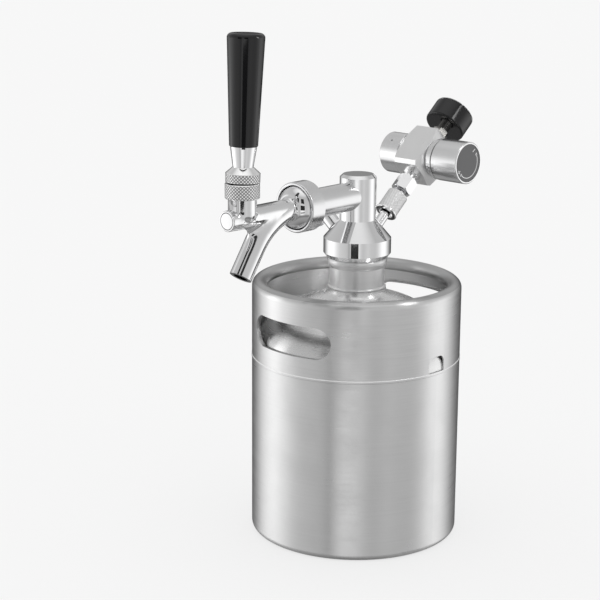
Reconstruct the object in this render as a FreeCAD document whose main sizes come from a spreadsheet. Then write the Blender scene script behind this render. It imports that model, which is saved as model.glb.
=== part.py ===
import FreeCAD, Part
import math
import os
from types import SimpleNamespace

import Sketcher
from FreeCAD import Placement, Rotation, Vector

# A mini keg with a tap head, a beer faucet and a gas regulator, in millimetres.
# Origin at the centre of the keg's base, +Z up. The faucet points along -Y, the gas port along +Y,
# and the regulator's knob along +X.

SIZES = {
    # keg
    "keg_radius": 84.0,
    "wall": 1.2,
    "base_corner": 5.0,
    "seam_height": 147.4,
    "seam_lip": 0.35,
    "seam_lip_height": 1.4,
    "dome_height": 52.6,
    "dome_knuckle": 38.0,
    "dome_skirt": 8.0,
    "flare_start": 28.6,
    "flare_top_radius": 23.4,
    "flare_radius": 7.0,
    "flare_height": 55.2,
    # chime: the skirt over the dome, with its rolled rim, hand holes and drain notches
    "chime_height": 62.1,
    "bead_radius": 5.8,
    "curl_angle": 215.0,
    "hole_half_length": 39.4,
    "hole_radius": 12.5,
    "hole_height": 28.1,
    "hole_lip_width": 1.3,
    "hole_lip_depth": 3.4,
    "notch_width": 18.5,
    "notch_height": 13.2,
    "notch_corner": 6.0,
    # neck, from the dome's flare up
    "neck_radius": 22.0,
    "neck_bore": 17.5,
    "neck_lip": 3.0,
    "neck_bead_radius": 23.4,
    "neck_bead_height": 1.8,
    "neck_length": 15.2,
    "collar_height": 7.4,
    "collar_radius": 24.0,
    "neck_thread_length": 10.0,
    "neck_thread_radius": 20.6,
    "seal_thickness": 2.0,
    # tap cap and post
    "cap_radius": 27.0,
    "cap_foot_radius": 24.4,
    "cap_chamfer": 3.5,
    "cap_gap": 0.5,
    "cap_thread_gap": 0.4,
    "cap_shoulder": 4.0,
    "cone_rise": 14.6,
    "chamber_radius": 17.0,
    "chamber_depth": 7.0,
    "bush_radius": 7.0,
    "bush_flange_radius": 9.5,
    "bush_flange": 2.5,
    "bush_drop": 1.6,
    "dip_tube_radius": 4.0,
    "dip_tube_bore": 3.0,
    "dip_tube_foot": 8.0,
    "post_radius": 14.6,
    "post_length": 36.4,
    "post_chamfer": 2.4,
    "beer_bore": 4.5,
    # shank and coupling nut, along the faucet line
    "line_rise": 19.4,
    "shank_radius": 11.5,
    "shank_spigot": 8.0,
    "shank_spigot_start": 4.0,
    "shank_start": 9.0,
    "shank_length": 47.4,
    "shank_flange_radius": 16.0,
    "shank_flange": 2.5,
    "washer_thickness": 1.5,
    "nut_radius": 19.6,
    "nut_web": 3.0,
    "nut_length": 15.0,
    "nut_rear_bore": 11.8,
    "nut_bore": 17.3,
    "nut_rim_round": 1.3,
    # faucet
    "faucet_flange_radius": 17.0,
    "faucet_flange": 5.6,
    "dome_length": 8.0,
    "dome_front_radius": 10.6,
    "dome_curve": 13.0,
    "barrel_radius": 7.9,
    "barrel_blend_length": 4.0,
    "barrel_blend": 3.6,
    "lever_reach": 46.1,
    "stub_length": 16.3,
    "stub_wall": 5.0,
    "stub_round": 0.7,
    "chamber_bore": 7.8,
    "seat_depth": 11.0,
    "guide_bore": 5.0,
    "boss_radius": 10.7,
    "boss_height": 15.3,
    "boss_side_height": 4.5,
    "well_floor": 2.0,
    "well_gap": 0.8,
    "ring_depth": 5.0,
    "ring_seat_radius": 9.2,
    "spout_radius": 8.7,
    "spout_bore": 5.6,
    "spout_bend": 55.0,
    "spout_lead": 0.8,
    "spout_angle": 56.0,
    "spout_straight": 24.7,
    # faucet shaft
    "shaft_radius": 2.0,
    "shaft_tail": 2.0,
    "shaft_seal_radius": 7.2,
    "shaft_seal_thickness": 3.0,
    "shaft_shoulder_radius": 4.4,
    "shaft_shoulder": 1.5,
    "shaft_nut_flats": 7.0,
    "shaft_nut_thickness": 2.5,
    "guide_gap": 0.05,
    "guide_rear": 6.2,
    "guide_lead": 8.8,
    "slot_half_width": 2.9,
    "slot_floor": -3.4,
    "slot_top": 3.0,
    # lever, above and below its pivot
    "pivot_rise": 2.2,
    "lean_angle": 2.0,
    "ball_radius": 7.2,
    "ball_gap": 0.3,
    "tip_radius": 2.6,
    "finger_radius": 1.7,
    "finger_length": 12.5,
    "finger_root": 3.2,
    "stem_radius": 3.25,
    "stem_taper": 1.2,
    "stud_radius": 4.7,
    "stud_engagement": 10.0,
    "friction_ring_gap": 0.2,
    "friction_ring_height": 3.2,
    "bonnet_radius": 13.05,
    "bonnet_height": 11.4,
    "bonnet_throat": 3.3,
    "bonnet_mouth": 9.6,
    "bonnet_chamfer": 0.5,
    "collar_gap": 0.3,
    "collar_lift": 0.8,
    "lever_collar_radius": 13.0,
    "lever_collar_height": 6.5,
    "collar_crown": 4.5,
    "collar_crown_radius": 7.9,
    "ferrule_foot_radius": 7.7,
    "ferrule_top_radius": 9.8,
    "ferrule_band": 1.2,
    "ferrule_height": 15.2,
    "handle_foot_radius": 10.7,
    "handle_foot_round": 0.8,
    "handle_top_radius": 14.0,
    "handle_length": 78.9,
    "handle_round": 3.4,
    # gas port and coupler, out along the port from its spot face on the cone
    "port_reach": 22.7,
    "port_angle": 40.2,
    "port_bore": 4.0,
    "port_depth": 8.0,
    "spot_face": 0.36,
    "gas_bore": 1.8,
    "gas_post_length": 28.0,
    "groove_drop": 4.0,
    "groove_radius": 3.2,
    "groove_half": 1.6,
    "coupler_overlap": 10.0,
    "coupler_radius": 6.2,
    "coupler_land": 0.5,
    "coupler_neck": 5.0,
    "socket_relief": 1.0,
    "post_gap": 0.05,
    "ball_circle": 4.6,
    "locking_ball_radius": 1.25,
    "oring_depth": 2.4,
    "oring_wire": 0.55,
    "spring_room": 11.0,
    "hex_length": 13.0,
    "hex_flats": 15.0,
    "hex_chamfer": 1.1,
    "swivel_neck": 5.5,
    "swivel_neck_length": 4.4,
    "swivel_collar_radius": 7.2,
    "swivel_collar": 1.8,
    "sleeve_radius": 8.65,
    "sleeve_lead": 2.8,
    "sleeve_rim": 9.3,
    "sleeve_rim_thickness": 1.7,
    "sleeve_length": 20.8,
    "sleeve_chamfer": 1.3,
    "sleeve_bore": 6.25,
    "sleeve_step_gap": 0.1,
    "sleeve_pocket": 7.0,
    "sleeve_spring_radius": 6.2,
    "sleeve_spring_wire": 0.45,
    # regulator block, across its own axis and along it
    "block_half_width": 15.4,
    "block_half_height": 19.6,
    "block_half_length": 14.2,
    "block_offset": 1.4,
    "block_corner": 1.2,
    "block_bevel_width": 3.0,
    "block_bevel_height": 2.6,
    "block_cone_length": 4.0,
    "block_end_radius": 15.0,
    "spigot_wall": 1.4,
    "gauge_thread": 4.8,
    "bonnet_thread": 12.5,
    "piston_bore": 11.0,
    "piston_bore_start": 4.0,
    "valve_bore": 2.2,
    "poppet_bore": 4.2,
    "poppet_bore_start": 10.0,
    "socket_spigot": 9.0,
    # spring house, piston and valve
    "neck_ring_radius": 13.6,
    "neck_ring": 1.2,
    "step_radius": 16.0,
    "step_length": 3.2,
    "ring_radius": 16.9,
    "ring_length": 2.2,
    "ring_chamfer": 0.4,
    "spring_house_radius": 13.5,
    "spring_house_gap": 2.0,
    "spring_house_wall": 2.0,
    "piston_radius": 10.9,
    "piston_rest": 1.4,
    "piston_length": 3.6,
    "bonnet_thread_gap": 0.2,
    "piston_groove": 9.5,
    "piston_oring_wire": 0.7,
    "piston_stem": 1.6,
    "stem_gap": 0.05,
    "poppet_radius": 3.4,
    "poppet_thickness": 2.0,
    "poppet_stem": 1.4,
    "poppet_stem_length": 3.4,
    "poppet_spring_radius": 2.5,
    "poppet_spring_wire": 0.35,
    "adjusting_spring_radius": 7.6,
    "adjusting_spring_wire": 1.0,
    "spring_nut_thickness": 4.0,
    "spring_nut_rest": 0.4,
    "spring_nut_gap": 0.08,
    "screw_radius": 3.0,
    "screw_tail": 8.0,
    "screw_flange_radius": 6.0,
    "screw_flange": 1.55,
    "screw_journal": 4.0,
    "screw_tip": 3.5,
    "screw_gap": 0.05,
    # knob
    "knob_radius": 17.1,
    "knob_gap": 0.6,
    "knob_length": 25.9,
    "knob_bore": 14.2,
    "knob_web": 4.8,
    "knob_chamfer": 0.7,
    "knob_recess": 1.1,
    "knob_recess_radius": 15.5,
    "knob_disc_thickness": 0.7,
    # cartridge socket
    "cartridge_length": 18.7,
    "cartridge_radius": 16.8,
    "cartridge_chamfer": 0.8,
    "cartridge_mouth": 13.2,
    "cartridge_mouth_depth": 6.0,
    "cartridge_thread": 4.76,
    "cartridge_thread_length": 9.0,
    "cartridge_thread_chamfer": 0.5,
    "cartridge_relief": 5.6,
    "cartridge_seal_thickness": 1.8,
    "pin_seat_radius": 4.0,
    "pin_seat_gap": 0.4,
    "pin_flange": 2.8,
    "pin_radius": 1.0,
    "pin_bore": 0.5,
    "pin_point": 1.2,
    "pin_recess": 0.3,
    "vent_radius": 0.7,
    "vent_position": 24.8,
    "vent_angle": 44.6,
    # gauge
    "gauge_hex_flats": 12.2,
    "gauge_hex_length": 9.1,
    "gauge_stem_length": 13.8,
    "gauge_neck": 5.0,
    "gauge_stem_bore": 1.2,
    "gauge_spigot": 4.2,
    "gauge_spigot_length": 3.5,
    "gauge_radius": 17.3,
    "gauge_back_chamfer": 1.4,
    "gauge_wall": 1.5,
    "gauge_back_wall": 2.0,
    "gauge_depth": 16.4,
    "dial_drop": 5.0,
    "dial_ledge": 1.7,
    "dial_thickness": 0.8,
    "dial_hole": 1.15,
    "movement_radius": 6.5,
    "movement_length": 5.0,
    "spindle_radius": 1.0,
    "spindle_length": 3.0,
    "pointer_rise": 0.5,
    "pointer_hub": 1.7,
    "pointer_hub_height": 1.2,
    "pointer_length": 12.4,
    "pointer_tail": 4.0,
    "pointer_width": 1.6,
    "pointer_tip_width": 0.5,
    "pointer_thickness": 0.4,
    "pointer_angle": 45.0,
    "lens_seat": 1.8,
    "lens_rise": 1.7,
    "lens_round": 0.8,
    "lens_gap": 0.1,
    # pressure relief valve
    "relief_radius": 5.8,
    "relief_length": 15.0,
    "relief_chamfer": 0.6,
    "relief_bore": 4.6,
    "relief_floor": 3.0,
    "relief_seat": 1.6,
    "relief_roof": 2.0,
    "relief_gasket_radius": 6.5,
    "relief_gasket_thickness": 0.9,
    "relief_stem_radius": 2.0,
    "relief_stem_rise": 10.6,
    "relief_disc": 4.2,
    "relief_disc_thickness": 1.4,
    "relief_seal_thickness": 0.6,
    "relief_spring_radius": 3.3,
    "relief_spring_wire": 0.4,
    "pull_hole": 1.3,
    "pull_hole_drop": 2.6,
    "pull_ring_radius": 8.0,
    "pull_ring_wire": 0.9,
}


class Size:
    """A size and the spreadsheet formula that gives it."""

    def __init__(self, value, formula=None):
        self.value = float(value)
        self.formula = formula or f"({value!r})"

    def __add__(self, other):
        other = size(other)
        return Size(self.value + other.value, f"({self.formula} + {other.formula})")

    def __sub__(self, other):
        other = size(other)
        return Size(self.value - other.value, f"({self.formula} - {other.formula})")

    def __mul__(self, other):
        other = size(other)
        return Size(self.value * other.value, f"({self.formula} * {other.formula})")

    def __truediv__(self, other):
        other = size(other)
        return Size(self.value / other.value, f"({self.formula} / {other.formula})")

    def __neg__(self):
        return size(0) - self

    def __radd__(self, other):
        return size(other) + self

    def __rsub__(self, other):
        return size(other) - self

    def __rmul__(self, other):
        return size(other) * self


def size(number):
    return number if isinstance(number, Size) else Size(number)


def root(number):
    return Size(math.sqrt(number.value), f"sqrt({number.formula})")


def sine(angle):
    return Size(math.sin(math.radians(angle.value)), f"sin({angle.formula} * 1 deg)")


def cosine(angle):
    return Size(math.cos(math.radians(angle.value)), f"cos({angle.formula} * 1 deg)")


doc = FreeCAD.newDocument("MiniKegTap")
sheet = doc.addObject("Spreadsheet::Sheet", "Sizes")
for row, (alias, number) in enumerate(SIZES.items(), start=1):
    sheet.set(f"A{row}", alias)
    sheet.set(f"B{row}", repr(number))
    sheet.setAlias(f"B{row}", alias)
doc.recompute()
s = SimpleNamespace(**{alias: Size(number, f"Sizes.{alias}") for alias, number in SIZES.items()})

NECK_SEAT = 0.2      # how far the dome's lip laps over the neck's foot
SEAT_GAP = 0.05      # between a seated ring and its seat, on the radius
TIP_CHAMFER = 0.6    # on the ends of posts and stems

TURN_X = Vector(1, 0, 0)
TURN_Y = Vector(0, 1, 0)


def frame(turn_axis=TURN_X, angle=0, x=0, y=0, z=0):
    """A local frame: its origin, and the turn that brings +Z onto the local axis."""
    return SimpleNamespace(axis=turn_axis, angle=size(angle), base=(size(x), size(y), size(z)))


# Heights above the keg's base.
at = SimpleNamespace()
at.rim = s.seam_height + s.chime_height
at.hole = s.seam_height + s.hole_height
at.flare_top = s.seam_height + s.flare_height
at.neck_foot = at.flare_top - s.neck_lip
at.collar_foot = at.flare_top + s.neck_bead_height + s.neck_length
at.collar_top = at.collar_foot + s.collar_height
at.neck_top = at.collar_top + s.neck_thread_length
at.cap_foot = at.collar_top + s.cap_gap
at.cap_ceiling = at.neck_top + s.seal_thickness
at.cap_roof = at.cap_ceiling + s.chamber_depth
at.cone_foot = at.cap_ceiling + s.cap_shoulder
at.cone_top = at.cone_foot + s.cone_rise
at.bush_top = at.cone_top - s.bush_drop
at.post_top = at.cone_top + s.post_length
at.line = at.cone_top + s.line_rise
cone_slope = s.cone_rise / (s.cap_radius - s.post_radius)
at.port = at.cone_foot + (s.cap_radius - s.port_reach) * cone_slope - s.spot_face

# Distances along the faucet line from the keg's axis.
at.shank_flange = s.post_radius + s.shank_length
at.shank_end = at.shank_flange + s.shank_flange
at.nut_start = at.shank_flange - s.nut_web
at.nut_end = at.nut_start + s.nut_length
at.faucet_rear = at.shank_end + s.washer_thickness
at.faucet_flange = at.faucet_rear + s.faucet_flange
at.dome_front = at.faucet_flange + s.dome_length
at.barrel_start = at.dome_front + s.barrel_blend_length
at.valve_seat = at.faucet_rear + s.seat_depth
at.spout_start = at.faucet_flange + s.spout_lead
at.lever = at.barrel_start + s.lever_reach
at.stub_end = at.lever + s.stub_length
at.guide_end = at.stub_end - s.stub_wall
at.guide_rear = at.lever - s.guide_rear
at.guide_front = at.lever + s.guide_lead
at.seal_rear = at.valve_seat - s.shaft_seal_thickness
at.shaft_nut = at.seal_rear - s.shaft_nut_thickness
at.shaft_rear = at.shaft_nut - s.shaft_tail

# Heights above the faucet line, then above the lever's pivot.
at.ring_seat = s.boss_height - s.ring_depth
at.bonnet_foot = at.ring_seat + s.friction_ring_height
at.bonnet_top = s.boss_height + s.bonnet_height
at.pivot = at.bonnet_foot + s.pivot_rise
at.bonnet_edge = at.bonnet_top - at.pivot
at.collar_start = at.bonnet_edge + s.collar_lift
at.collar_shoulder = at.collar_start + s.lever_collar_height
at.collar_crown = at.collar_shoulder + s.collar_crown
at.ferrule_top = at.collar_crown + s.ferrule_height
at.stud_top = at.ferrule_top + s.stud_engagement
at.handle_shoulder = at.ferrule_top + s.handle_length

# Distances along the gas port's axis.
at.groove = s.gas_post_length - s.groove_drop
at.coupler_start = s.gas_post_length - s.coupler_overlap
at.coupler_land = s.gas_post_length + s.coupler_land
at.socket_end = s.gas_post_length + s.socket_relief
at.oring = at.coupler_start + s.oring_depth
at.sleeve = at.coupler_start - s.sleeve_lead
at.sleeve_end = at.sleeve + s.sleeve_length
at.sleeve_step = at.coupler_land + s.sleeve_step_gap
at.hex_start = s.gas_post_length + s.spring_room
at.hex_end = at.hex_start + s.hex_length
at.swivel_collar = at.hex_end + s.swivel_neck_length
at.block_seat = at.swivel_collar + s.swivel_collar
at.regulator = at.block_seat + s.block_half_height
at.gauge_seat = at.regulator + s.block_half_height
at.gauge_back = at.gauge_seat + s.gauge_stem_length
at.gauge_spigot = at.gauge_back + s.gauge_spigot_length
at.gauge_front = at.gauge_back + s.gauge_depth
at.dial = at.gauge_front - s.dial_drop
at.movement_end = at.gauge_spigot + s.movement_length
at.pointer = at.dial + s.dial_thickness + s.pointer_rise
at.lens = at.gauge_front - s.lens_seat
at.lens_top = at.gauge_front + s.lens_rise
at.relief_stem = s.relief_length + s.relief_stem_rise
at.pull_hole = at.relief_stem - s.pull_hole_drop

# Distances along the regulator's axis: towards the knob, then towards the cartridge.
at.block_knob_end = s.block_half_length - s.block_offset
at.piston = s.piston_bore_start + s.piston_rest
at.piston_end = at.piston + s.piston_length
at.bonnet_thread = at.piston_end + s.bonnet_thread_gap
at.step = at.block_knob_end + s.neck_ring
at.ring = at.step + s.step_length
at.ring_end = at.ring + s.ring_length
at.knob = at.ring_end + s.knob_gap
at.knob_end = at.knob + s.knob_length
at.knob_face = at.knob_end - s.knob_recess
at.knob_web = at.knob_face - s.knob_web
at.spring_house_end = at.knob_web - s.spring_house_gap
at.spring_house_roof = at.spring_house_end - s.spring_house_wall
at.screw_flange = at.spring_house_roof - s.screw_gap - s.screw_flange
at.spring_nut_end = at.screw_flange - s.spring_nut_rest
at.spring_nut = at.spring_nut_end - s.spring_nut_thickness
at.screw = at.spring_nut - s.screw_tail
at.block_cartridge_end = s.block_half_length + s.block_offset
at.pin_seat = s.poppet_bore_start + s.pin_seat_gap
at.pin_flange = at.pin_seat + s.pin_flange
at.socket_floor = at.pin_flange + s.cartridge_seal_thickness
at.cartridge_end = at.block_cartridge_end + s.cartridge_length
at.thread_start = at.cartridge_end - s.cartridge_mouth_depth
at.thread_end = at.thread_start - s.cartridge_thread_length
at.pin_tip = at.thread_end - s.pin_recess

PORT_TURN = s.port_angle - 90
REGULATOR_Y = s.port_reach + at.regulator * cosine(s.port_angle)
REGULATOR_Z = at.port + at.regulator * sine(s.port_angle)

UPRIGHT = frame()
LINE = frame(TURN_X, 90, z=at.line)
BOSS = frame(y=-at.lever, z=at.line)
LEVER = frame(TURN_X, -s.lean_angle, y=-at.lever, z=at.line + at.pivot)
GAS = frame(TURN_X, PORT_TURN, y=s.port_reach, z=at.port)
RELIEF = frame(TURN_Y, PORT_TURN, x=-s.port_reach, z=at.port)
BLOCK = frame(TURN_X, PORT_TURN, y=REGULATOR_Y, z=REGULATOR_Z)
REGULATOR = frame(TURN_Y, 90, y=REGULATOR_Y, z=REGULATOR_Z)
VENT = frame(TURN_X, s.vent_angle, x=-s.vent_position, y=REGULATOR_Y, z=REGULATOR_Z)


def place(obj, where):
    x, y, z = where.base
    obj.Placement = Placement(Vector(x.value, y.value, z.value), Rotation(where.axis, where.angle.value))
    for letter, offset in zip("xyz", where.base):
        if "Sizes." in offset.formula:
            obj.setExpression(f"Placement.Base.{letter}", offset.formula)
    if "Sizes." in where.angle.formula:
        obj.setExpression("Placement.Rotation.Angle", f"{where.angle.formula} * 1 deg")
    return obj


def new_body(name, where):
    body = doc.addObject("PartDesign::Body", name)
    body.AllowCompound = True
    return place(body, where)


def new_sketch(body, name, plane, shift=(0, 0, 0)):
    """A sketch on one of the body's origin planes, its own origin moved by the shift."""
    sketch = body.newObject("Sketcher::SketchObject", name)
    support = [feature for feature in body.Origin.OriginFeatures if feature.Role == plane][0]
    sketch.AttachmentSupport = [(support, "")]
    sketch.MapMode = "FlatFace"
    shift = [size(offset) for offset in shift]
    sketch.AttachmentOffset = Placement(Vector(*[offset.value for offset in shift]), Rotation())
    for letter, offset in zip("xyz", shift):
        if "Sizes." in offset.formula:
            sketch.setExpression(f"AttachmentOffset.Base.{letter}", offset.formula)
    return sketch


def hold(sketch, kind, place_of_point, value):
    """One dimension of a sketch, bound to the sheet."""
    index = sketch.addConstraint(Sketcher.Constraint(kind, *place_of_point, value.value))
    if "Sizes." in value.formula:
        sketch.setExpression(f"Constraints[{index}]", value.formula)


def pin_point(sketch, edge, end, x, y):
    """Holds the end of an edge at x, y from the sketch's origin."""
    for kind, value, axis in (("DistanceX", x, -2), ("DistanceY", y, -1)):
        if value.value == 0:
            sketch.addConstraint(Sketcher.Constraint("PointOnObject", edge, end, axis))
        else:
            hold(sketch, kind, (-1, 1, edge, end), value)


def arc_between(start, end, radius):
    """The short arc between two points, anticlockwise for a positive radius, and whether it starts first."""
    if radius < 0:
        start, end = end, start
    chord = end - start
    middle = (start + end) * 0.5
    rise = math.sqrt(radius * radius - chord.Length * chord.Length / 4)
    centre = middle + Vector(-chord.y, chord.x, 0) * (rise / chord.Length)
    first = math.atan2(start.y - centre.y, start.x - centre.x)
    last = math.atan2(end.y - centre.y, end.x - centre.x)
    if last < first:
        last += 2 * math.pi
    circle = Part.Circle(centre, Vector(0, 0, 1), abs(radius))
    return Part.ArcOfCircle(circle, first, last)


def outline(sketch, corners, closed=True):
    """Edges from corner to corner. A corner's third entry is the radius of the arc that leads to it."""
    corners = [tuple(size(entry) for entry in corner) for corner in corners]
    points = [Vector(corner[0].value, corner[1].value, 0) for corner in corners]
    count = len(corners)
    first_edge = sketch.GeometryCount
    steps = range(count if closed else count - 1)
    ends = []
    for step in steps:
        start = points[step]
        target = (step + 1) % count
        if len(corners[target]) == 3:
            radius = corners[target][2]
            edge = sketch.addGeometry(arc_between(start, points[target], radius.value), False)
            ends.append((1, 2) if radius.value > 0 else (2, 1))
            hold(sketch, "Radius", (edge,), Size(abs(radius.value), f"abs({radius.formula})"))
        else:
            sketch.addGeometry(Part.LineSegment(start, points[target]), False)
            ends.append((1, 2))
    for step in steps:
        edge = first_edge + step
        if closed or step > 0:
            before = (step - 1) % count
            sketch.addConstraint(
                Sketcher.Constraint("Coincident", first_edge + before, ends[before][1], edge, ends[step][0])
            )
        pin_point(sketch, edge, ends[step][0], corners[step][0], corners[step][1])
    if not closed:
        pin_point(sketch, first_edge + count - 2, ends[-1][1], corners[-1][0], corners[-1][1])


def circle(sketch, radius, x=0, y=0):
    x, y, radius = size(x), size(y), size(radius)
    edge = sketch.addGeometry(Part.Circle(Vector(x.value, y.value, 0), Vector(0, 0, 1), radius.value), False)
    hold(sketch, "Radius", (edge,), radius)
    pin_point(sketch, edge, 3, x, y)


def spin(body, sketch, axis="V_Axis", cut=False):
    """A sketch turned about one of its axes, added to the body or cut from it."""
    kind = "Groove" if cut else "Revolution"
    feature = body.newObject(f"PartDesign::{kind}", f"{sketch.Name}_{kind}")
    feature.Profile = sketch
    feature.ReferenceAxis = (sketch, [axis])
    feature.Angle = 360
    return feature


def turned(name, where, corners):
    """A body of revolution about its frame's axis, from an outline of radius and height."""
    body = new_body(name, where)
    sketch = new_sketch(body, f"{name}_profile", "XZ_Plane")
    outline(sketch, corners)
    spin(body, sketch)
    return body


def turn_more(body, name, corners, plane="XZ_Plane", shift=(0, 0, 0), axis="V_Axis", cut=True):
    """A further turned cut, or turned form, in the same body."""
    sketch = new_sketch(body, name, plane, shift)
    outline(sketch, corners)
    return spin(body, sketch, axis, cut)


def tube(name, where, bore, radius, start, end):
    return turned(name, where, [(bore, start), (radius, start), (radius, end), (bore, end)])


def rod(name, where, radius, start, end):
    return tube(name, where, 0, radius, start, end)


def ring(name, where, major, wire, position):
    """A torus about the frame's axis."""
    body = new_body(name, where)
    sketch = new_sketch(body, f"{name}_section", "XZ_Plane")
    circle(sketch, wire, major, position)
    spin(body, sketch)
    return body


def extrude(body, sketch, length, both_ways=False, cut=False):
    kind = "Pocket" if cut else "Pad"
    feature = body.newObject(f"PartDesign::{kind}", f"{sketch.Name}_{kind}")
    feature.Profile = sketch
    length = size(length)
    feature.Length = length.value
    if "Sizes." in length.formula:
        feature.setExpression("Length", length.formula)
    if both_ways:
        feature.SideType = "Symmetric"
    return feature


def hexagon(flats, corner_on_x=True):
    """Corners of a hexagon with the given width across its flats, one corner on +X, or else on +Y."""
    reach = flats / math.sqrt(3)
    half = flats / 2
    corners = [
        (reach, 0), (reach / 2, half), (-reach / 2, half),
        (-reach, 0), (-reach / 2, -half), (reach / 2, -half),
    ]
    return corners if corner_on_x else [(-y, x) for x, y in corners]


def chamfer_hexagon(body, name, flats, end, depth):
    """Turns a hexagon's corners down at one end, over a depth that is negative below its upper end."""
    flat = flats / 2
    turn_more(body, name, [(flat, end), (flat * 1.4, end), (flat * 1.4, end + depth * 2)])


def boolean(kind, name, *objects):
    """Part::Cut of the first by the second, or Part::MultiFuse or MultiCommon of them all."""
    result = doc.addObject(f"Part::{kind}", name)
    if kind == "Cut":
        result.Base, result.Tool = objects
    else:
        result.Shapes = list(objects)
    result.Refine = True
    return result


def spring(name, where, radius, wire, start, end, turns):
    """A coil spring: hexagonal sections joined along a helix, with its wire inside start and end."""
    steps = 10
    sections = []
    low = start.value + wire.value
    high = end.value - wire.value
    for step in range(turns * steps + 1):
        bearing = 2 * math.pi * step / steps
        height = low + (high - low) * step / (turns * steps)
        corners = []
        for corner in range(6):
            lean = math.pi / 3 * corner
            reach = radius.value + wire.value * math.cos(lean)
            rise = height + wire.value * math.sin(lean)
            corners.append(Vector(reach * math.cos(bearing), reach * math.sin(bearing), rise))
        sections.append(Part.makePolygon(corners + corners[:1]))
    feature = doc.addObject("Part::Feature", name)
    feature.Shape = Part.makeLoft(sections, True, True)
    return place(feature, where)


# --- keg ---------------------------------------------------------------------------------------


def keg_lower_shell():
    """The drawn cup, with a small proud lip at its upper edge."""
    lip = s.keg_radius + s.seam_lip
    return turned("keg_lower_shell", UPRIGHT, [
        (0, 0),
        (s.keg_radius - s.base_corner, 0),
        (s.keg_radius, s.base_corner, s.base_corner),
        (s.keg_radius, s.seam_height - s.seam_lip_height - s.seam_lip),
        (lip, s.seam_height - s.seam_lip_height),
        (lip, s.seam_height),
        (s.keg_radius - s.wall, s.seam_height),
        (s.keg_radius - s.wall, s.base_corner),
        (s.keg_radius - s.base_corner, s.wall, s.wall - s.base_corner),
        (0, s.wall),
    ])


def keg_dome():
    """The domed top: knuckle and crown arcs, flared up to the neck, on a skirt inside the cup."""
    edge = s.keg_radius - s.wall
    reach = edge - s.dome_knuckle
    rise = s.dome_height - s.dome_knuckle
    crown = (reach * reach + s.dome_height * s.dome_height - s.dome_knuckle * s.dome_knuckle) / (rise * 2)
    centre = s.seam_height + s.dome_height - crown
    side = reach / (crown - s.dome_knuckle)
    up = (crown - s.dome_height) / (crown - s.dome_knuckle)
    inner = crown - s.wall
    bore = s.neck_radius - NECK_SEAT
    inner_start = s.flare_start - s.wall * 1.6
    return turned("keg_dome", UPRIGHT, [
        (edge - s.wall, s.seam_height - s.dome_skirt),
        (edge, s.seam_height - s.dome_skirt),
        (edge, s.seam_height),
        (crown * side, centre + crown * up, s.dome_knuckle),
        (s.flare_start, centre + root(crown * crown - s.flare_start * s.flare_start), crown),
        (s.flare_top_radius, at.flare_top, -s.flare_radius),
        (bore, at.flare_top),
        (bore, at.neck_foot),
        (inner_start, centre + root(inner * inner - inner_start * inner_start), s.flare_radius - s.wall * 1.6),
        (inner * side, centre + inner * up, -inner),
        (edge - s.wall, s.seam_height, s.wall - s.dome_knuckle),
    ])


def slot_outline(sketch, half_length, radius, height):
    """A slot with round ends, lying level."""
    flat = half_length - radius
    outline(sketch, [
        (-flat, height - radius, radius),
        (flat, height - radius),
        (half_length, height, radius),
        (flat, height + radius, radius),
        (-flat, height + radius),
        (-half_length, height, radius),
    ])


def top_chime():
    """The skirt above the seam, curled inwards at its rim, with two hand holes and two drain notches."""
    centre = s.keg_radius - s.bead_radius
    height = at.rim - s.bead_radius
    inner = s.bead_radius - s.wall
    tip_out = cosine(s.curl_angle)
    tip_up = sine(s.curl_angle)
    chime = turned("chime_wall", UPRIGHT, [
        (s.keg_radius - s.wall, s.seam_height),
        (s.keg_radius, s.seam_height),
        (s.keg_radius, height),
        (centre, at.rim, s.bead_radius),
        (centre + s.bead_radius * tip_out, height + s.bead_radius * tip_up, s.bead_radius),
        (centre + inner * tip_out, height + inner * tip_up),
        (centre, height + inner, -inner),
        (s.keg_radius - s.wall, height, -inner),
    ])
    through = s.keg_radius * 2 + 20
    holes = new_sketch(chime, "hand_holes", "XZ_Plane")
    slot_outline(holes, s.hole_half_length, s.hole_radius, at.hole)
    extrude(chime, holes, through, both_ways=True, cut=True)
    notch = new_sketch(chime, "drain_notches", "YZ_Plane")
    half = s.notch_width / 2
    top = s.seam_height + s.notch_height
    outline(notch, [
        (-half, s.seam_height - 1),
        (half, s.seam_height - 1),
        (half, top - s.notch_corner),
        (half - s.notch_corner, top, s.notch_corner),
        (s.notch_corner - half, top),
        (-half, top - s.notch_corner, s.notch_corner),
    ])
    extrude(chime, notch, through, both_ways=True, cut=True)
    rims = new_body("hand_hole_rims", UPRIGHT)
    rim_sketch = new_sketch(rims, "rim_outline", "XZ_Plane")
    slot_outline(rim_sketch, s.hole_half_length, s.hole_radius, at.hole)
    slot_outline(
        rim_sketch, s.hole_half_length + s.hole_lip_width, s.hole_radius + s.hole_lip_width, at.hole
    )
    extrude(rims, rim_sketch, s.keg_radius * 2, both_ways=True)
    zone = tube(
        "rim_zone", UPRIGHT, s.keg_radius - s.hole_lip_depth, s.keg_radius,
        at.hole - s.hole_radius * 2, at.hole + s.hole_radius * 2,
    )
    lips = boolean("MultiCommon", "hand_hole_lips", rims, zone)
    return boolean("MultiFuse", "top_chime", chime, lips)


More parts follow.
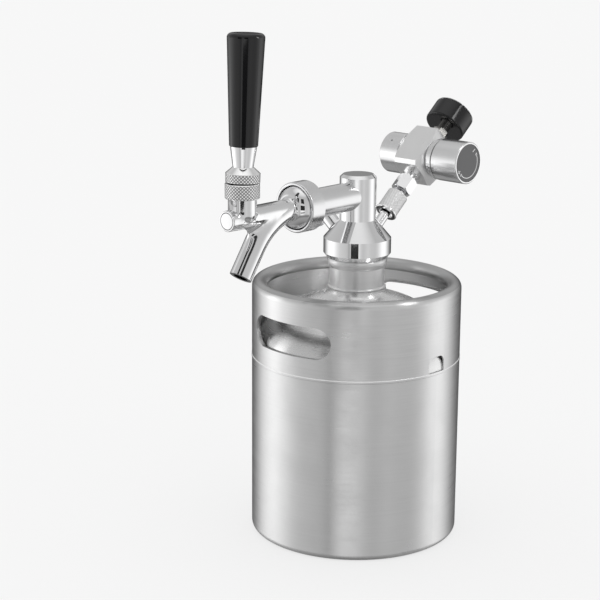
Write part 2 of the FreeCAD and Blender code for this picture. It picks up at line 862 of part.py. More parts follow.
def keg_neck():
    """The welded neck: a bead on the dome, a rounded collar under the cap and a threaded spigot."""
    bead_foot = at.flare_top
    bead = s.neck_bead_height / 2
    lap = s.neck_radius - NECK_SEAT
    return turned("keg_neck", UPRIGHT, [
        (s.neck_bore, at.neck_foot),
        (lap, at.neck_foot),
        (lap, bead_foot),
        (s.neck_bead_radius - bead, bead_foot),
        (s.neck_bead_radius, bead_foot + bead, bead),
        (s.neck_bead_radius - bead, bead_foot + s.neck_bead_height, bead),
        (s.neck_radius, bead_foot + s.neck_bead_height),
        (s.neck_radius, at.collar_foot),
        (s.collar_radius, at.collar_top - 1, at.collar_top - at.collar_foot),
        (s.collar_radius - 0.6, at.collar_top),
        (s.neck_thread_radius, at.collar_top),
        (s.neck_thread_radius, at.neck_top - 1),
        (s.neck_thread_radius - 0.6, at.neck_top),
        (s.neck_bore, at.neck_top),
    ])


def neck_seal():
    """The flat gasket on the neck's top, under the cap's ceiling."""
    return tube(
        "neck_seal", UPRIGHT, s.neck_bore + 0.1, s.neck_thread_radius - 0.7, at.neck_top, at.cap_ceiling
    )


# --- tap head ----------------------------------------------------------------------------------


def tap_cap():
    """The turned cap: threaded skirt, gas chamber, cone, and the two ports drilled square to the cone."""
    skirt = s.neck_thread_radius + s.cap_thread_gap
    cap = turned("cap_turning", UPRIGHT, [
        (skirt, at.cap_foot),
        (s.cap_foot_radius, at.cap_foot),
        (s.cap_radius, at.cap_foot + s.cap_chamfer),
        (s.cap_radius, at.cone_foot),
        (s.post_radius, at.cone_top),
        (s.bush_radius, at.cone_top),
        (s.bush_radius, at.cap_roof),
        (s.chamber_radius, at.cap_roof),
        (s.chamber_radius, at.cap_ceiling),
        (skirt, at.cap_ceiling),
    ])
    drillings = boolean(
        "MultiFuse", "cap_drillings",
        rod("gas_drilling", GAS, s.port_bore, -s.port_depth - 1, s.port_bore),
        rod("relief_drilling", RELIEF, s.port_bore, -s.port_depth - 1, s.port_bore),
        rod("relief_spot_face", RELIEF, s.relief_gasket_radius, 0, s.relief_gasket_radius),
    )
    return boolean("Cut", "tap_cap", cap, drillings)


def dip_tube_bush():
    return turned("dip_tube_bush", UPRIGHT, [
        (s.dip_tube_radius, at.cap_roof - s.bush_flange),
        (s.bush_flange_radius, at.cap_roof - s.bush_flange),
        (s.bush_flange_radius, at.cap_roof),
        (s.bush_radius, at.cap_roof),
        (s.bush_radius, at.bush_top),
        (s.dip_tube_radius, at.bush_top),
    ])


def dip_tube():
    """The beer pipe from just above the keg's floor up into the bush."""
    return tube("dip_tube", UPRIGHT, s.dip_tube_bore, s.dip_tube_radius, s.dip_tube_foot, at.bush_top)


def tap_post():
    """The upright post on the cone, closed and chamfered at the top, with the shank's cross bore."""
    crown = at.line + s.beer_bore
    post = turned("post_turning", UPRIGHT, [
        (s.beer_bore, at.cone_top),
        (s.post_radius, at.cone_top),
        (s.post_radius, at.post_top - s.post_chamfer),
        (s.post_radius - s.post_chamfer, at.post_top),
        (0, at.post_top),
        (0, crown),
        (s.beer_bore, crown),
    ])
    cross_bore = rod("shank_bore", LINE, s.shank_spigot, s.shank_spigot_start, s.post_radius + 5)
    return boolean("Cut", "tap_post", post, cross_bore)


def shank_tube():
    """The level tube from the post to the faucet: coped to the post, with a spigot and an end flange."""
    shank = turned("shank_turning", LINE, [
        (s.beer_bore, s.shank_start),
        (s.shank_radius, s.shank_start),
        (s.shank_radius, at.shank_flange),
        (s.shank_flange_radius, at.shank_flange),
        (s.shank_flange_radius, at.shank_end),
        (s.beer_bore, at.shank_end),
    ])
    cope = rod("shank_cope", UPRIGHT, s.post_radius, at.cone_top, at.post_top)
    coped = boolean("Cut", "coped_shank", shank, cope)
    spigot = tube("shank_spigot", LINE, s.beer_bore, s.shank_spigot, s.shank_spigot_start, s.post_radius + 3)
    return boolean("MultiFuse", "shank_tube", coped, spigot)


def shank_washer():
    return tube(
        "shank_washer", LINE, s.beer_bore + 0.2, s.shank_flange_radius - 0.5, at.shank_end, at.faucet_rear,
    )


def coupling_nut():
    """The smooth round nut that draws the faucet's flange to the shank."""
    rim = s.nut_rim_round
    return turned("coupling_nut", LINE, [
        (s.nut_rear_bore, at.nut_start),
        (s.nut_radius - 0.8, at.nut_start),
        (s.nut_radius, at.nut_start + 0.8),
        (s.nut_radius, at.nut_end - rim),
        (s.nut_radius - rim, at.nut_end, rim),
        (s.nut_bore + 0.4, at.nut_end),
        (s.nut_bore, at.nut_end - 0.4),
        (s.nut_bore, at.shank_flange),
        (s.nut_rear_bore, at.shank_flange),
    ])


def faucet_body():
    """The faucet: domed flange, level barrel with a stub end, lever boss and the bent spout."""
    body = turned("faucet_body", LINE, [
        (0, at.faucet_rear),
        (s.faucet_flange_radius, at.faucet_rear),
        (s.faucet_flange_radius, at.faucet_flange),
        (s.dome_front_radius, at.dome_front, s.dome_curve),
        (s.barrel_radius, at.barrel_start, -s.barrel_blend),
        (s.barrel_radius, at.stub_end - s.stub_round),
        (s.barrel_radius - s.stub_round, at.stub_end, s.stub_round),
        (0, at.stub_end),
    ])
    boss_spot = (0, at.lever, 0)
    turn_more(body, "boss", [
        (-3, 0),
        (s.boss_height, 0),
        (s.boss_height, s.boss_radius),
        (s.boss_side_height, s.boss_radius),
        (-3, s.barrel_radius - 0.9, s.boss_radius),
    ], "YZ_Plane", boss_spot, "H_Axis", cut=False)
    route = new_sketch(body, "spout_route", "YZ_Plane")
    across = cosine(s.spout_angle)
    along = sine(s.spout_angle)
    drop = s.spout_bend * (1 - across)
    bend_end = at.spout_start + s.spout_bend * along
    outline(route, [
        (0, at.spout_start),
        (-drop, bend_end, s.spout_bend),
        (-drop - s.spout_straight * along, bend_end + s.spout_straight * across),
    ], closed=False)
    for name, radius, kind in (
        ("spout", s.spout_radius, "Additive"), ("spout_way", s.spout_bore, "Subtractive"),
    ):
        section = new_sketch(body, f"{name}_section", "XY_Plane", (0, 0, at.spout_start))
        circle(section, radius)
        sweep = body.newObject(f"PartDesign::{kind}Pipe", name)
        sweep.Profile = section
        sweep.Spine = (route, [])
    turn_more(body, "seal_chamber", [
        (0, at.faucet_rear), (s.chamber_bore, at.faucet_rear),
        (s.chamber_bore, at.valve_seat), (0, at.valve_seat),
    ])
    turn_more(body, "shaft_guide", [
        (0, at.valve_seat), (s.guide_bore, at.valve_seat), (s.guide_bore, at.guide_end), (0, at.guide_end),
    ])
    well = s.ball_radius + s.well_gap
    turn_more(body, "lever_well", [
        (s.well_floor, 0),
        (s.boss_height, 0),
        (s.boss_height, s.ring_seat_radius),
        (at.ring_seat, s.ring_seat_radius),
        (at.ring_seat, well),
        (s.well_floor, well),
    ], "YZ_Plane", boss_spot, "H_Axis")
    return body


def valve_shaft():
    """The sliding shaft: seal end, rod, and a guide with a slot for the lever's tip."""
    shoulder = s.shaft_shoulder_radius
    shaft = turned("valve_shaft", LINE, [
        (0, at.shaft_rear),
        (s.shaft_radius, at.shaft_rear),
        (s.shaft_radius, at.valve_seat),
        (shoulder, at.valve_seat),
        (shoulder, at.valve_seat + s.shaft_shoulder),
        (s.shaft_radius, at.valve_seat + s.shaft_shoulder + 1),
        (s.shaft_radius, at.guide_rear - 1),
        (s.guide_bore - s.guide_gap, at.guide_rear),
        (s.guide_bore - s.guide_gap, at.guide_front),
        (0, at.guide_front),
    ])
    tip = at.lever + at.pivot * sine(s.lean_angle)
    width = s.slot_half_width
    slot = new_sketch(shaft, "tip_slot", "YZ_Plane")
    outline(slot, [
        (s.slot_floor, tip - width), (s.guide_bore, tip - width),
        (s.guide_bore, tip + width), (s.slot_floor, tip + width),
    ])
    extrude(shaft, slot, width * 2, both_ways=True, cut=True)
    flat = new_sketch(shaft, "guide_flat", "YZ_Plane")
    outline(flat, [
        (s.slot_top, at.guide_rear - 2), (s.guide_bore, at.guide_rear - 2), (s.guide_bore, at.guide_front + 1),
        (s.slot_top, at.guide_front + 1),
    ])
    extrude(shaft, flat, s.guide_bore * 3, both_ways=True, cut=True)
    return shaft


def valve_seal():
    return tube(
        "valve_seal", LINE, s.shaft_radius, s.shaft_seal_radius, at.seal_rear, at.valve_seat,
    )


def shaft_nut():
    """The hexagon nut that holds the seal on the shaft."""
    body = new_body("shaft_nut", LINE)
    sketch = new_sketch(body, "shaft_nut_outline", "XY_Plane", (0, 0, at.shaft_nut))
    outline(sketch, hexagon(s.shaft_nut_flats))
    circle(sketch, s.shaft_radius)
    extrude(body, sketch, s.shaft_nut_thickness)
    return body


def friction_ring():
    return tube(
        "friction_ring", BOSS, s.ball_radius + s.friction_ring_gap, s.ring_seat_radius - SEAT_GAP,
        at.ring_seat, at.bonnet_foot,
    )


def bonnet():
    """The lower knurled ring: holds the lever's ball down on a spherical seat."""
    seat = s.ball_radius + s.ball_gap
    spigot = s.ring_seat_radius - SEAT_GAP * 2
    throat = at.pivot + s.bonnet_throat
    return turned("bonnet", BOSS, [
        (root(seat * seat - s.pivot_rise * s.pivot_rise), at.bonnet_foot, -seat),
        (spigot, at.bonnet_foot),
        (spigot, s.boss_height),
        (s.bonnet_radius - s.bonnet_chamfer, s.boss_height),
        (s.bonnet_radius, s.boss_height + s.bonnet_chamfer),
        (s.bonnet_radius, at.bonnet_top - s.bonnet_chamfer),
        (s.bonnet_radius - s.bonnet_chamfer, at.bonnet_top),
        (s.bonnet_mouth, at.bonnet_top),
        (root(seat * seat - s.bonnet_throat * s.bonnet_throat), throat),
    ])


def collar_sphere():
    """The radius about the pivot that clears the bonnet's upper edge."""
    edge = at.bonnet_edge - s.bonnet_chamfer
    return root(s.bonnet_radius * s.bonnet_radius + edge * edge) + s.collar_gap


def lever():
    """The lever: a ball with a finger down into the shaft and a stem up to a threaded stud."""
    ball = s.ball_radius
    finger_end = root(s.tip_radius * s.tip_radius - s.finger_radius * s.finger_radius)
    stud_foot = root(collar_sphere() * collar_sphere() - s.stud_radius * s.stud_radius)
    return turned("lever", LEVER, [
        (0, -at.pivot - s.tip_radius),
        (s.finger_radius, finger_end - at.pivot, s.tip_radius),
        (s.finger_radius, -s.finger_length),
        (s.finger_root, -root(ball * ball - s.finger_root * s.finger_root)),
        (s.stem_radius, root(ball * ball - s.stem_radius * s.stem_radius), ball),
        (s.stem_radius, stud_foot - s.stem_taper),
        (s.stud_radius, stud_foot),
        (s.stud_radius, at.stud_top),
        (0, at.stud_top),
    ])


def lever_collar():
    """The upper knurled ring: its hollow is a sphere about the pivot, so it tips clear of the bonnet."""
    sphere = collar_sphere()
    return turned("lever_collar", LEVER, [
        (root(sphere * sphere - at.collar_start * at.collar_start), at.collar_start, -sphere),
        (s.lever_collar_radius, at.collar_start),
        (s.lever_collar_radius, at.collar_shoulder),
        (s.collar_crown_radius, at.collar_crown),
        (s.stud_radius, at.collar_crown),
        (s.stud_radius, root(sphere * sphere - s.stud_radius * s.stud_radius)),
    ])


def handle_ferrule():
    return turned("handle_ferrule", LEVER, [
        (s.stud_radius, at.collar_crown),
        (s.ferrule_foot_radius, at.collar_crown),
        (s.ferrule_top_radius, at.ferrule_top - s.ferrule_band),
        (s.ferrule_top_radius, at.ferrule_top),
        (s.stud_radius, at.ferrule_top),
    ])


def tap_handle():
    """The long tapered handle, rounded at its top edge."""
    return turned("tap_handle", LEVER, [
        (s.stud_radius, at.ferrule_top),
        (s.handle_foot_radius - s.handle_foot_round, at.ferrule_top),
        (s.handle_foot_radius, at.ferrule_top + s.handle_foot_round, s.handle_foot_round),
        (s.handle_top_radius, at.handle_shoulder),
        (s.handle_top_radius - s.handle_round, at.handle_shoulder + s.handle_round, s.handle_round),
        (0, at.handle_shoulder + s.handle_round),
        (0, at.stud_top),
        (s.stud_radius, at.stud_top),
    ])


def gas_post():
    """The fixed gas plug: screwed into the cone, with a groove for the coupler's balls."""
    low = at.groove - s.groove_half
    high = at.groove + s.groove_half
    slope = s.port_bore - s.groove_radius
    tip = s.gas_post_length - TIP_CHAMFER
    return turned("gas_post", GAS, [
        (s.gas_bore, -s.port_depth),
        (s.port_bore, -s.port_depth),
        (s.port_bore, low),
        (s.groove_radius, low + slope),
        (s.groove_radius, high - slope),
        (s.port_bore, high),
        (s.port_bore, tip),
        (s.port_bore - TIP_CHAMFER, s.gas_post_length),
        (s.gas_bore, s.gas_post_length),
    ])


def relief_body():
    """The relief valve's round housing, with its seat below and a guide hole in its roof."""
    guide = s.relief_stem_radius + s.screw_gap
    return turned("relief_body", RELIEF, [
        (s.relief_seat, -s.port_depth),
        (s.port_bore, -s.port_depth),
        (s.port_bore, s.relief_gasket_thickness),
        (s.relief_radius, s.relief_gasket_thickness),
        (s.relief_radius, s.relief_length - s.relief_chamfer),
        (s.relief_radius - s.relief_chamfer, s.relief_length),
        (guide, s.relief_length),
        (guide, s.relief_length - s.relief_roof),
        (s.relief_bore, s.relief_length - s.relief_roof),
        (s.relief_bore, s.relief_floor),
        (s.relief_seat, s.relief_floor),
    ])


def relief_gasket():
    """The thin black washer between the relief valve and the cone."""
    return tube("relief_gasket", RELIEF, s.port_bore, s.relief_gasket_radius, 0, s.relief_gasket_thickness)


def relief_stem():
    """The sprung stem, with a disc over the seat and a cross hole for the pull ring."""
    foot = s.relief_floor + s.relief_seal_thickness
    stem = turned("relief_stem", RELIEF, [
        (0, foot),
        (s.relief_disc, foot),
        (s.relief_disc, foot + s.relief_disc_thickness),
        (s.relief_stem_radius, foot + s.relief_disc_thickness),
        (s.relief_stem_radius, at.relief_stem - TIP_CHAMFER),
        (s.relief_stem_radius - TIP_CHAMFER, at.relief_stem),
        (0, at.relief_stem),
    ])
    hole = new_sketch(stem, "pull_hole", "XZ_Plane")
    circle(hole, s.pull_hole, 0, at.pull_hole)
    extrude(stem, hole, s.relief_stem_radius * 4, both_ways=True, cut=True)
    return stem


def relief_seal():
    return rod(
        "relief_seal", RELIEF, s.relief_disc - 0.2, s.relief_floor, s.relief_floor + s.relief_seal_thickness
    )


def relief_spring():
    foot = s.relief_floor + s.relief_seal_thickness + s.relief_disc_thickness
    return spring(
        "relief_spring", RELIEF, s.relief_spring_radius, s.relief_spring_wire, foot,
        s.relief_length - s.relief_roof, 4,
    )


def relief_pull_ring():
    """The wire ring through the stem's hole, hanging straight down."""
    out = s.port_reach + at.pull_hole * cosine(s.port_angle)
    up = at.port + at.pull_hole * sine(s.port_angle)
    hanging = frame(TURN_Y, 90, x=-out, z=up - s.pull_ring_radius)
    return ring("relief_pull_ring", hanging, s.pull_ring_radius, s.pull_ring_wire, 0)


# --- coupler -----------------------------------------------------------------------------------


def coupler_body():
    """The coupler: ball socket, spring neck, hexagon and the collar that seats on the regulator."""
    spigot_end = at.regulator - s.piston_bore - s.spigot_wall
    body = turned("coupler_body", GAS, [
        (0, at.coupler_start),
        (s.coupler_radius, at.coupler_start),
        (s.coupler_radius, at.coupler_land),
        (s.coupler_neck, at.coupler_land),
        (s.coupler_neck, at.hex_end),
        (s.swivel_neck, at.hex_end),
        (s.swivel_neck, at.swivel_collar - 1),
        (s.swivel_collar_radius, at.swivel_collar),
        (s.swivel_collar_radius, at.block_seat),
        (s.coupler_neck, at.block_seat),
        (s.coupler_neck, spigot_end),
        (0, spigot_end),
    ])
    hexagon_sketch = new_sketch(body, "coupler_hexagon", "XY_Plane", (0, 0, at.hex_start))
    outline(hexagon_sketch, hexagon(s.hex_flats, corner_on_x=False))
    extrude(body, hexagon_sketch, s.hex_length)
    chamfer_hexagon(body, "lower_hexagon_chamfer", s.hex_flats, at.hex_start, s.hex_chamfer)
    chamfer_hexagon(body, "upper_hexagon_chamfer", s.hex_flats, at.hex_end, -s.hex_chamfer)
    turn_more(body, "gas_way", [
        (0, at.coupler_start),
        (s.port_bore + s.post_gap, at.coupler_start),
        (s.port_bore + s.post_gap, at.socket_end),
        (s.gas_bore, at.socket_end + 1),
        (s.gas_bore, spigot_end),
        (0, spigot_end),
    ])
    groove = s.oring_wire + 0.1
    groove_floor = s.port_bore + s.post_gap + s.oring_wire * 2
    turn_more(body, "oring_groove", [
        (s.port_bore, at.oring - groove),
        (groove_floor, at.oring - groove),
        (groove_floor, at.oring + groove),
        (s.port_bore, at.oring + groove),
    ])
    for plane in ("XZ_Plane", "YZ_Plane"):
        holes = new_sketch(body, f"ball_holes_{plane[:2]}", plane)
        circle(holes, s.locking_ball_radius, 0, at.groove)
        extrude(body, holes, s.coupler_radius * 3, both_ways=True, cut=True)
    return body


def coupler_balls():
    """The four locking balls in the coupler's holes."""
    body = new_body("coupler_balls", GAS)
    radius = s.locking_ball_radius
    half_disc = new_sketch(body, "ball_profile", "XZ_Plane", (s.ball_circle, at.groove, 0))
    outline(half_disc, [(-radius, 0, radius), (radius, 0), (0, radius, radius)])
    ball = spin(body, half_disc, "H_Axis")
    doc.recompute()
    pattern = body.newObject("PartDesign::PolarPattern", "ball_pattern")
    pattern.Originals = [ball]
    pattern.Axis = ([feature for feature in body.Origin.OriginFeatures if feature.Role == "Z_Axis"][0], [""])
    pattern.Angle = 360
    pattern.Occurrences = 4
    body.Tip = pattern
    return body


def coupler_oring():
    return ring(
        "coupler_oring", GAS, s.port_bore + s.post_gap + s.oring_wire, s.oring_wire, at.oring
    )


def coupler_sleeve():
    """The sliding release sleeve, with a flared rim at its lower end."""
    rim_end = at.sleeve + s.sleeve_rim_thickness
    edge = (s.sleeve_rim - s.sleeve_radius) * 0.75
    return turned("coupler_sleeve", GAS, [
        (s.sleeve_bore, at.sleeve),
        (s.sleeve_rim - edge, at.sleeve),
        (s.sleeve_rim, at.sleeve + edge),
        (s.sleeve_rim, rim_end - edge),
        (s.sleeve_radius, rim_end),
        (s.sleeve_radius, at.sleeve_end - s.sleeve_chamfer),
        (s.sleeve_radius - s.sleeve_chamfer, at.sleeve_end),
        (s.sleeve_pocket, at.sleeve_end),
        (s.sleeve_pocket, at.sleeve_step),
        (s.sleeve_bore, at.sleeve_step),
    ])


def coupler_spring():
    return spring(
        "coupler_spring", GAS, s.sleeve_spring_radius, s.sleeve_spring_wire, at.sleeve_step, at.hex_start, 4
    )


# --- regulator ---------------------------------------------------------------------------------


def regulator_block():
    """The square block, its ends turned to a cone so each flat meets them in a curve, and its bores."""
    body = new_body("regulator_block", BLOCK)
    section = new_sketch(body, "block_section", "YZ_Plane", (0, 0, -s.block_offset))
    across, high, corner = s.block_half_width, s.block_half_height, s.block_corner
    bevel_foot = s.block_bevel_height - high
    outline(section, [
        (s.block_bevel_width - across, -high),
        (across - s.block_bevel_width, -high),
        (across, bevel_foot),
        (across, high - corner),
        (across - corner, high, corner),
        (corner - across, high),
        (-across, high - corner, corner),
        (-across, bevel_foot),
    ])
    extrude(body, section, s.block_half_length * 2, both_ways=True)
    corner_reach = root(across * across + high * high)
    ends = (
        ("knob_end_cone", at.block_knob_end, s.block_cone_length),
        ("cartridge_end_cone", -at.block_cartridge_end, -s.block_cone_length),
    )
    for name, end, inwards in ends:
        beyond = end + inwards / 4
        turn_more(body, name, [
            (end - inwards, corner_reach), (end, s.block_end_radius), (beyond, s.block_end_radius),
            (beyond, corner_reach + 1), (end - inwards, corner_reach + 1),
        ], axis="H_Axis")
    for name, radius, side in (("coupler_bore", s.coupler_neck, -1), ("gauge_bore", s.gauge_thread, 1)):
        face = high * side
        floor = (s.piston_bore + s.spigot_wall) * side
        turn_more(body, name, [(0, face), (radius, face), (radius, floor), (0, floor)])
    end = at.block_knob_end
    turn_more(body, "piston_bores", [
        (-s.piston_bore_start, 0), (end, 0), (end, s.bonnet_thread), (at.bonnet_thread, s.bonnet_thread),
        (at.bonnet_thread, s.piston_bore), (s.piston_bore_start, s.piston_bore),
        (s.piston_bore_start, s.valve_bore), (-s.piston_bore_start, s.valve_bore),
    ], axis="H_Axis")
    end = -at.block_cartridge_end
    turn_more(body, "cartridge_bores", [
        (end, 0), (-s.piston_bore_start, 0), (-s.piston_bore_start, s.poppet_bore),
        (-s.poppet_bore_start, s.poppet_bore), (-s.poppet_bore_start, s.socket_spigot), (end, s.socket_spigot),
    ], axis="H_Axis")
    return body


def regulator_bonnet():
    """The spring house: screwed into the block, with two polished steps and a barrel inside the knob."""
    chamfer = s.ring_chamfer
    journal = s.screw_journal + s.screw_gap * 2
    return turned("regulator_bonnet", REGULATOR, [
        (s.piston_bore, at.bonnet_thread),
        (s.bonnet_thread, at.bonnet_thread),
        (s.bonnet_thread, at.block_knob_end),
        (s.neck_ring_radius, at.block_knob_end),
        (s.neck_ring_radius, at.step),
        (s.step_radius - chamfer, at.step),
        (s.step_radius, at.step + chamfer),
        (s.step_radius, at.ring),
        (s.ring_radius, at.ring + chamfer),
        (s.ring_radius, at.ring_end - chamfer),
        (s.ring_radius - chamfer, at.ring_end),
        (s.spring_house_radius, at.ring_end),
        (s.spring_house_radius, at.spring_house_end),
        (journal, at.spring_house_end),
        (journal, at.spring_house_roof),
        (s.piston_bore, at.spring_house_roof),
    ])


def regulator_piston():
    """The piston with its seal groove and the stem that opens the valve."""
    middle = (at.piston + at.piston_end) / 2
    half = s.piston_oring_wire + 0.1
    tip = s.stem_gap - s.piston_bore_start
    return turned("regulator_piston", REGULATOR, [
        (0, tip),
        (s.piston_stem, tip),
        (s.piston_stem, at.piston),
        (s.piston_radius, at.piston),
        (s.piston_radius, middle - half),
        (s.piston_groove, middle - half),
        (s.piston_groove, middle + half),
        (s.piston_radius, middle + half),
        (s.piston_radius, at.piston_end),
        (0, at.piston_end),
    ])


def piston_oring():
    return ring(
        "piston_oring", REGULATOR, s.piston_bore - s.piston_oring_wire, s.piston_oring_wire,
        (at.piston + at.piston_end) / 2,
    )


def valve_poppet():
    """The valve disc that closes the high-pressure bore, on a short spring guide."""
    face = -s.piston_bore_start
    rear = face - s.poppet_thickness
    return turned("valve_poppet", REGULATOR, [
        (0, rear - s.poppet_stem_length),
        (s.poppet_stem, rear - s.poppet_stem_length),
        (s.poppet_stem, rear),
        (s.poppet_radius, rear),
        (s.poppet_radius, face),
        (0, face),
    ])


def poppet_spring():
    return spring(
        "poppet_spring", REGULATOR, s.poppet_spring_radius, s.poppet_spring_wire,
        -at.pin_seat, -s.piston_bore_start - s.poppet_thickness, 3,
    )


def adjusting_spring():
    return spring(
        "adjusting_spring", REGULATOR, s.adjusting_spring_radius, s.adjusting_spring_wire,
        at.piston_end, at.spring_nut, 5,
    )


def spring_nut():
    """The nut that the adjusting screw draws in against the spring."""
    return tube(
        "spring_nut", REGULATOR, s.screw_radius + s.screw_gap, s.piston_bore - s.spring_nut_gap,
        at.spring_nut, at.spring_nut_end,
    )


def adjusting_screw():
    """The screw that turns with the knob, held by its flange under the spring house's roof."""
    flange_top = at.spring_house_roof - s.screw_gap
    return turned("adjusting_screw", REGULATOR, [
        (0, at.screw),
        (s.screw_radius, at.screw),
        (s.screw_radius, at.screw_flange),
        (s.screw_flange_radius, at.screw_flange),
        (s.screw_flange_radius, flange_top),
        (s.screw_journal, flange_top),
        (s.screw_journal, at.knob_web),
        (s.screw_tip, at.knob_web),
        (s.screw_tip, at.knob_face),
        (0, at.knob_face),
    ])


def regulator_knob():
    """The smooth round knob, with a polished rim round its recessed end."""
    chamfer = s.knob_chamfer
    return turned("regulator_knob", REGULATOR, [
        (s.knob_bore, at.knob),
        (s.knob_radius - chamfer, at.knob),
        (s.knob_radius, at.knob + chamfer),
        (s.knob_radius, at.knob_end - chamfer),
        (s.knob_radius - chamfer, at.knob_end),
        (s.knob_recess_radius, at.knob_end),
        (s.knob_recess_radius, at.knob_face),
        (s.screw_tip, at.knob_face),
        (s.screw_tip, at.knob_web),
        (s.knob_bore, at.knob_web),
    ])


def knob_face_disc():
    return rod(
        "knob_face_disc", REGULATOR, s.knob_recess_radius, at.knob_face, at.knob_face + s.knob_disc_thickness
    )


def cartridge_socket():
    """The cartridge end: a round cup with a funnel mouth, a threaded bore, the pin's seat and a vent."""
    end, chamfer = -at.cartridge_end, s.cartridge_chamfer
    cup = turned("cartridge_turning", REGULATOR, [
        (s.cartridge_mouth, end),
        (s.cartridge_radius - chamfer, end),
        (s.cartridge_radius, end + chamfer),
        (s.cartridge_radius, -at.block_cartridge_end),
        (s.socket_spigot, -at.block_cartridge_end),
        (s.socket_spigot, -at.pin_seat),
        (s.pin_seat_radius, -at.pin_seat),
        (s.pin_seat_radius, -at.socket_floor),
        (s.cartridge_relief, -at.socket_floor),
        (s.cartridge_relief, -at.thread_end),
        (s.cartridge_thread, -at.thread_end),
        (s.cartridge_thread, -at.thread_start),
        (s.cartridge_thread + s.cartridge_thread_chamfer, -at.thread_start),
    ])
    vent = rod("vent_drilling", VENT, s.vent_radius, s.cartridge_thread - 1, s.cartridge_radius + 1)
    return boolean("Cut", "cartridge_socket", cup, vent)


def piercing_pin():
    """The hollow pin that opens a cartridge."""
    return turned("piercing_pin", REGULATOR, [
        (s.pin_bore, -at.pin_tip),
        (s.pin_radius, s.pin_point - at.pin_tip),
        (s.pin_radius, -at.pin_flange),
        (s.pin_seat_radius, -at.pin_flange),
        (s.pin_seat_radius, -at.pin_seat),
        (s.pin_bore, -at.pin_seat),
    ])


def cartridge_seal():
    return tube(
        "cartridge_seal", REGULATOR, s.pin_radius, s.pin_seat_radius - 0.1, -at.socket_floor, -at.pin_flange
    )


# --- gauge -------------------------------------------------------------------------------------


def gauge_stem():
    """The hexagon stem between the block and the gauge."""
    thread_end = at.regulator + s.piston_bore + s.spigot_wall
    hexagon_end = at.gauge_seat + s.gauge_hex_length
    body = turned("gauge_stem", GAS, [
        (s.gauge_stem_bore, thread_end),
        (s.gauge_thread, thread_end),
        (s.gauge_thread, at.gauge_seat),
        (s.gauge_neck, at.gauge_seat),
        (s.gauge_neck, at.gauge_back),
        (s.gauge_spigot, at.gauge_back),
        (s.gauge_spigot, at.gauge_spigot),
        (s.gauge_stem_bore, at.gauge_spigot),
    ])
    hexagon_sketch = new_sketch(body, "gauge_hexagon", "XY_Plane", (0, 0, at.gauge_seat))
    outline(hexagon_sketch, hexagon(s.gauge_hex_flats))
    circle(hexagon_sketch, s.gauge_neck - 0.5)
    extrude(body, hexagon_sketch, s.gauge_hex_length)
    chamfer_hexagon(body, "gauge_hexagon_chamfer", s.gauge_hex_flats, hexagon_end, -s.hex_chamfer)
    return body


def gauge_case():
    """The gauge's round case, with a ledge inside for the dial."""
    inner = s.gauge_radius - s.gauge_wall
    ledge = inner - s.dial_ledge
    floor = at.gauge_back + s.gauge_back_wall
    return turned("gauge_case", GAS, [
        (s.gauge_spigot, at.gauge_back),
        (s.gauge_radius - s.gauge_back_chamfer, at.gauge_back),
        (s.gauge_radius, at.gauge_back + s.gauge_back_chamfer, s.gauge_back_chamfer),
        (s.gauge_radius, at.gauge_front),
        (inner, at.gauge_front),
        (inner, at.dial),
        (ledge, at.dial),
        (ledge, floor),
        (s.gauge_spigot, floor),
    ])


def gauge_movement():
    """The block behind the dial that carries the pointer's spindle."""
    return tube(
        "gauge_movement", GAS, s.spindle_radius + s.screw_gap, s.movement_radius,
        at.gauge_spigot, at.movement_end,
    )


def gauge_dial():
    inner = s.gauge_radius - s.gauge_wall
    return tube("gauge_dial", GAS, s.dial_hole, inner, at.dial, at.dial + s.dial_thickness)


def gauge_pointer():
    """The pointer: spindle, hub, and a tapered needle with a short tail, lying towards zero."""
    spindle_foot = at.movement_end - s.spindle_length
    body = turned("gauge_pointer", GAS, [
        (0, spindle_foot),
        (s.spindle_radius, spindle_foot),
        (s.spindle_radius, at.pointer),
        (s.pointer_hub, at.pointer),
        (s.pointer_hub, at.pointer + s.pointer_hub_height),
        (0, at.pointer + s.pointer_hub_height),
    ])
    foot = at.pointer + (s.pointer_hub_height - s.pointer_thickness) / 2
    needle = new_sketch(body, "needle", "XY_Plane", (0, 0, foot))
    along = cosine(s.pointer_angle)
    aside = sine(s.pointer_angle)

    def spot(reach, half_width):
        return (-reach * along - half_width * aside, reach * aside - half_width * along)

    wide, narrow = s.pointer_width / 2, s.pointer_tip_width / 2
    outline(needle, [
        spot(-s.pointer_tail, wide), spot(s.pointer_length, narrow),
        spot(s.pointer_length, -narrow), spot(-s.pointer_tail, -wide),
    ])
    extrude(body, needle, s.pointer_thickness)
    return body


def gauge_lens():
    """The clear front: a stepped disc pressed into the case."""
    inner = s.gauge_radius - s.gauge_wall
    outer = s.gauge_radius - s.lens_gap
    return turned("gauge_lens", GAS, [
        (0, at.lens),
        (inner, at.lens),
        (inner, at.gauge_front),
        (outer, at.gauge_front),
        (outer, at.lens_top - s.lens_round),
        (outer - s.lens_round, at.lens_top, s.lens_round),
        (0, at.lens_top),
    ])


MAKERS = [
    keg_lower_shell, keg_dome, top_chime, keg_neck, neck_seal,
    tap_cap, dip_tube_bush, dip_tube, tap_post, shank_tube, shank_washer, coupling_nut,
    faucet_body, valve_shaft, valve_seal, shaft_nut, friction_ring, bonnet,
    lever, lever_collar, handle_ferrule, tap_handle,
    gas_post, relief_body, relief_gasket, relief_stem, relief_seal, relief_spring, relief_pull_ring,
    coupler_body, coupler_balls, coupler_oring, coupler_sleeve, coupler_spring,
    regulator_block, regulator_bonnet, regulator_piston, piston_oring, valve_poppet, poppet_spring,
    adjusting_spring, spring_nut, adjusting_screw, regulator_knob, knob_face_disc,
    cartridge_socket, piercing_pin, cartridge_seal,
    gauge_stem, gauge_case, gauge_movement, gauge_dial, gauge_pointer, gauge_lens,
]

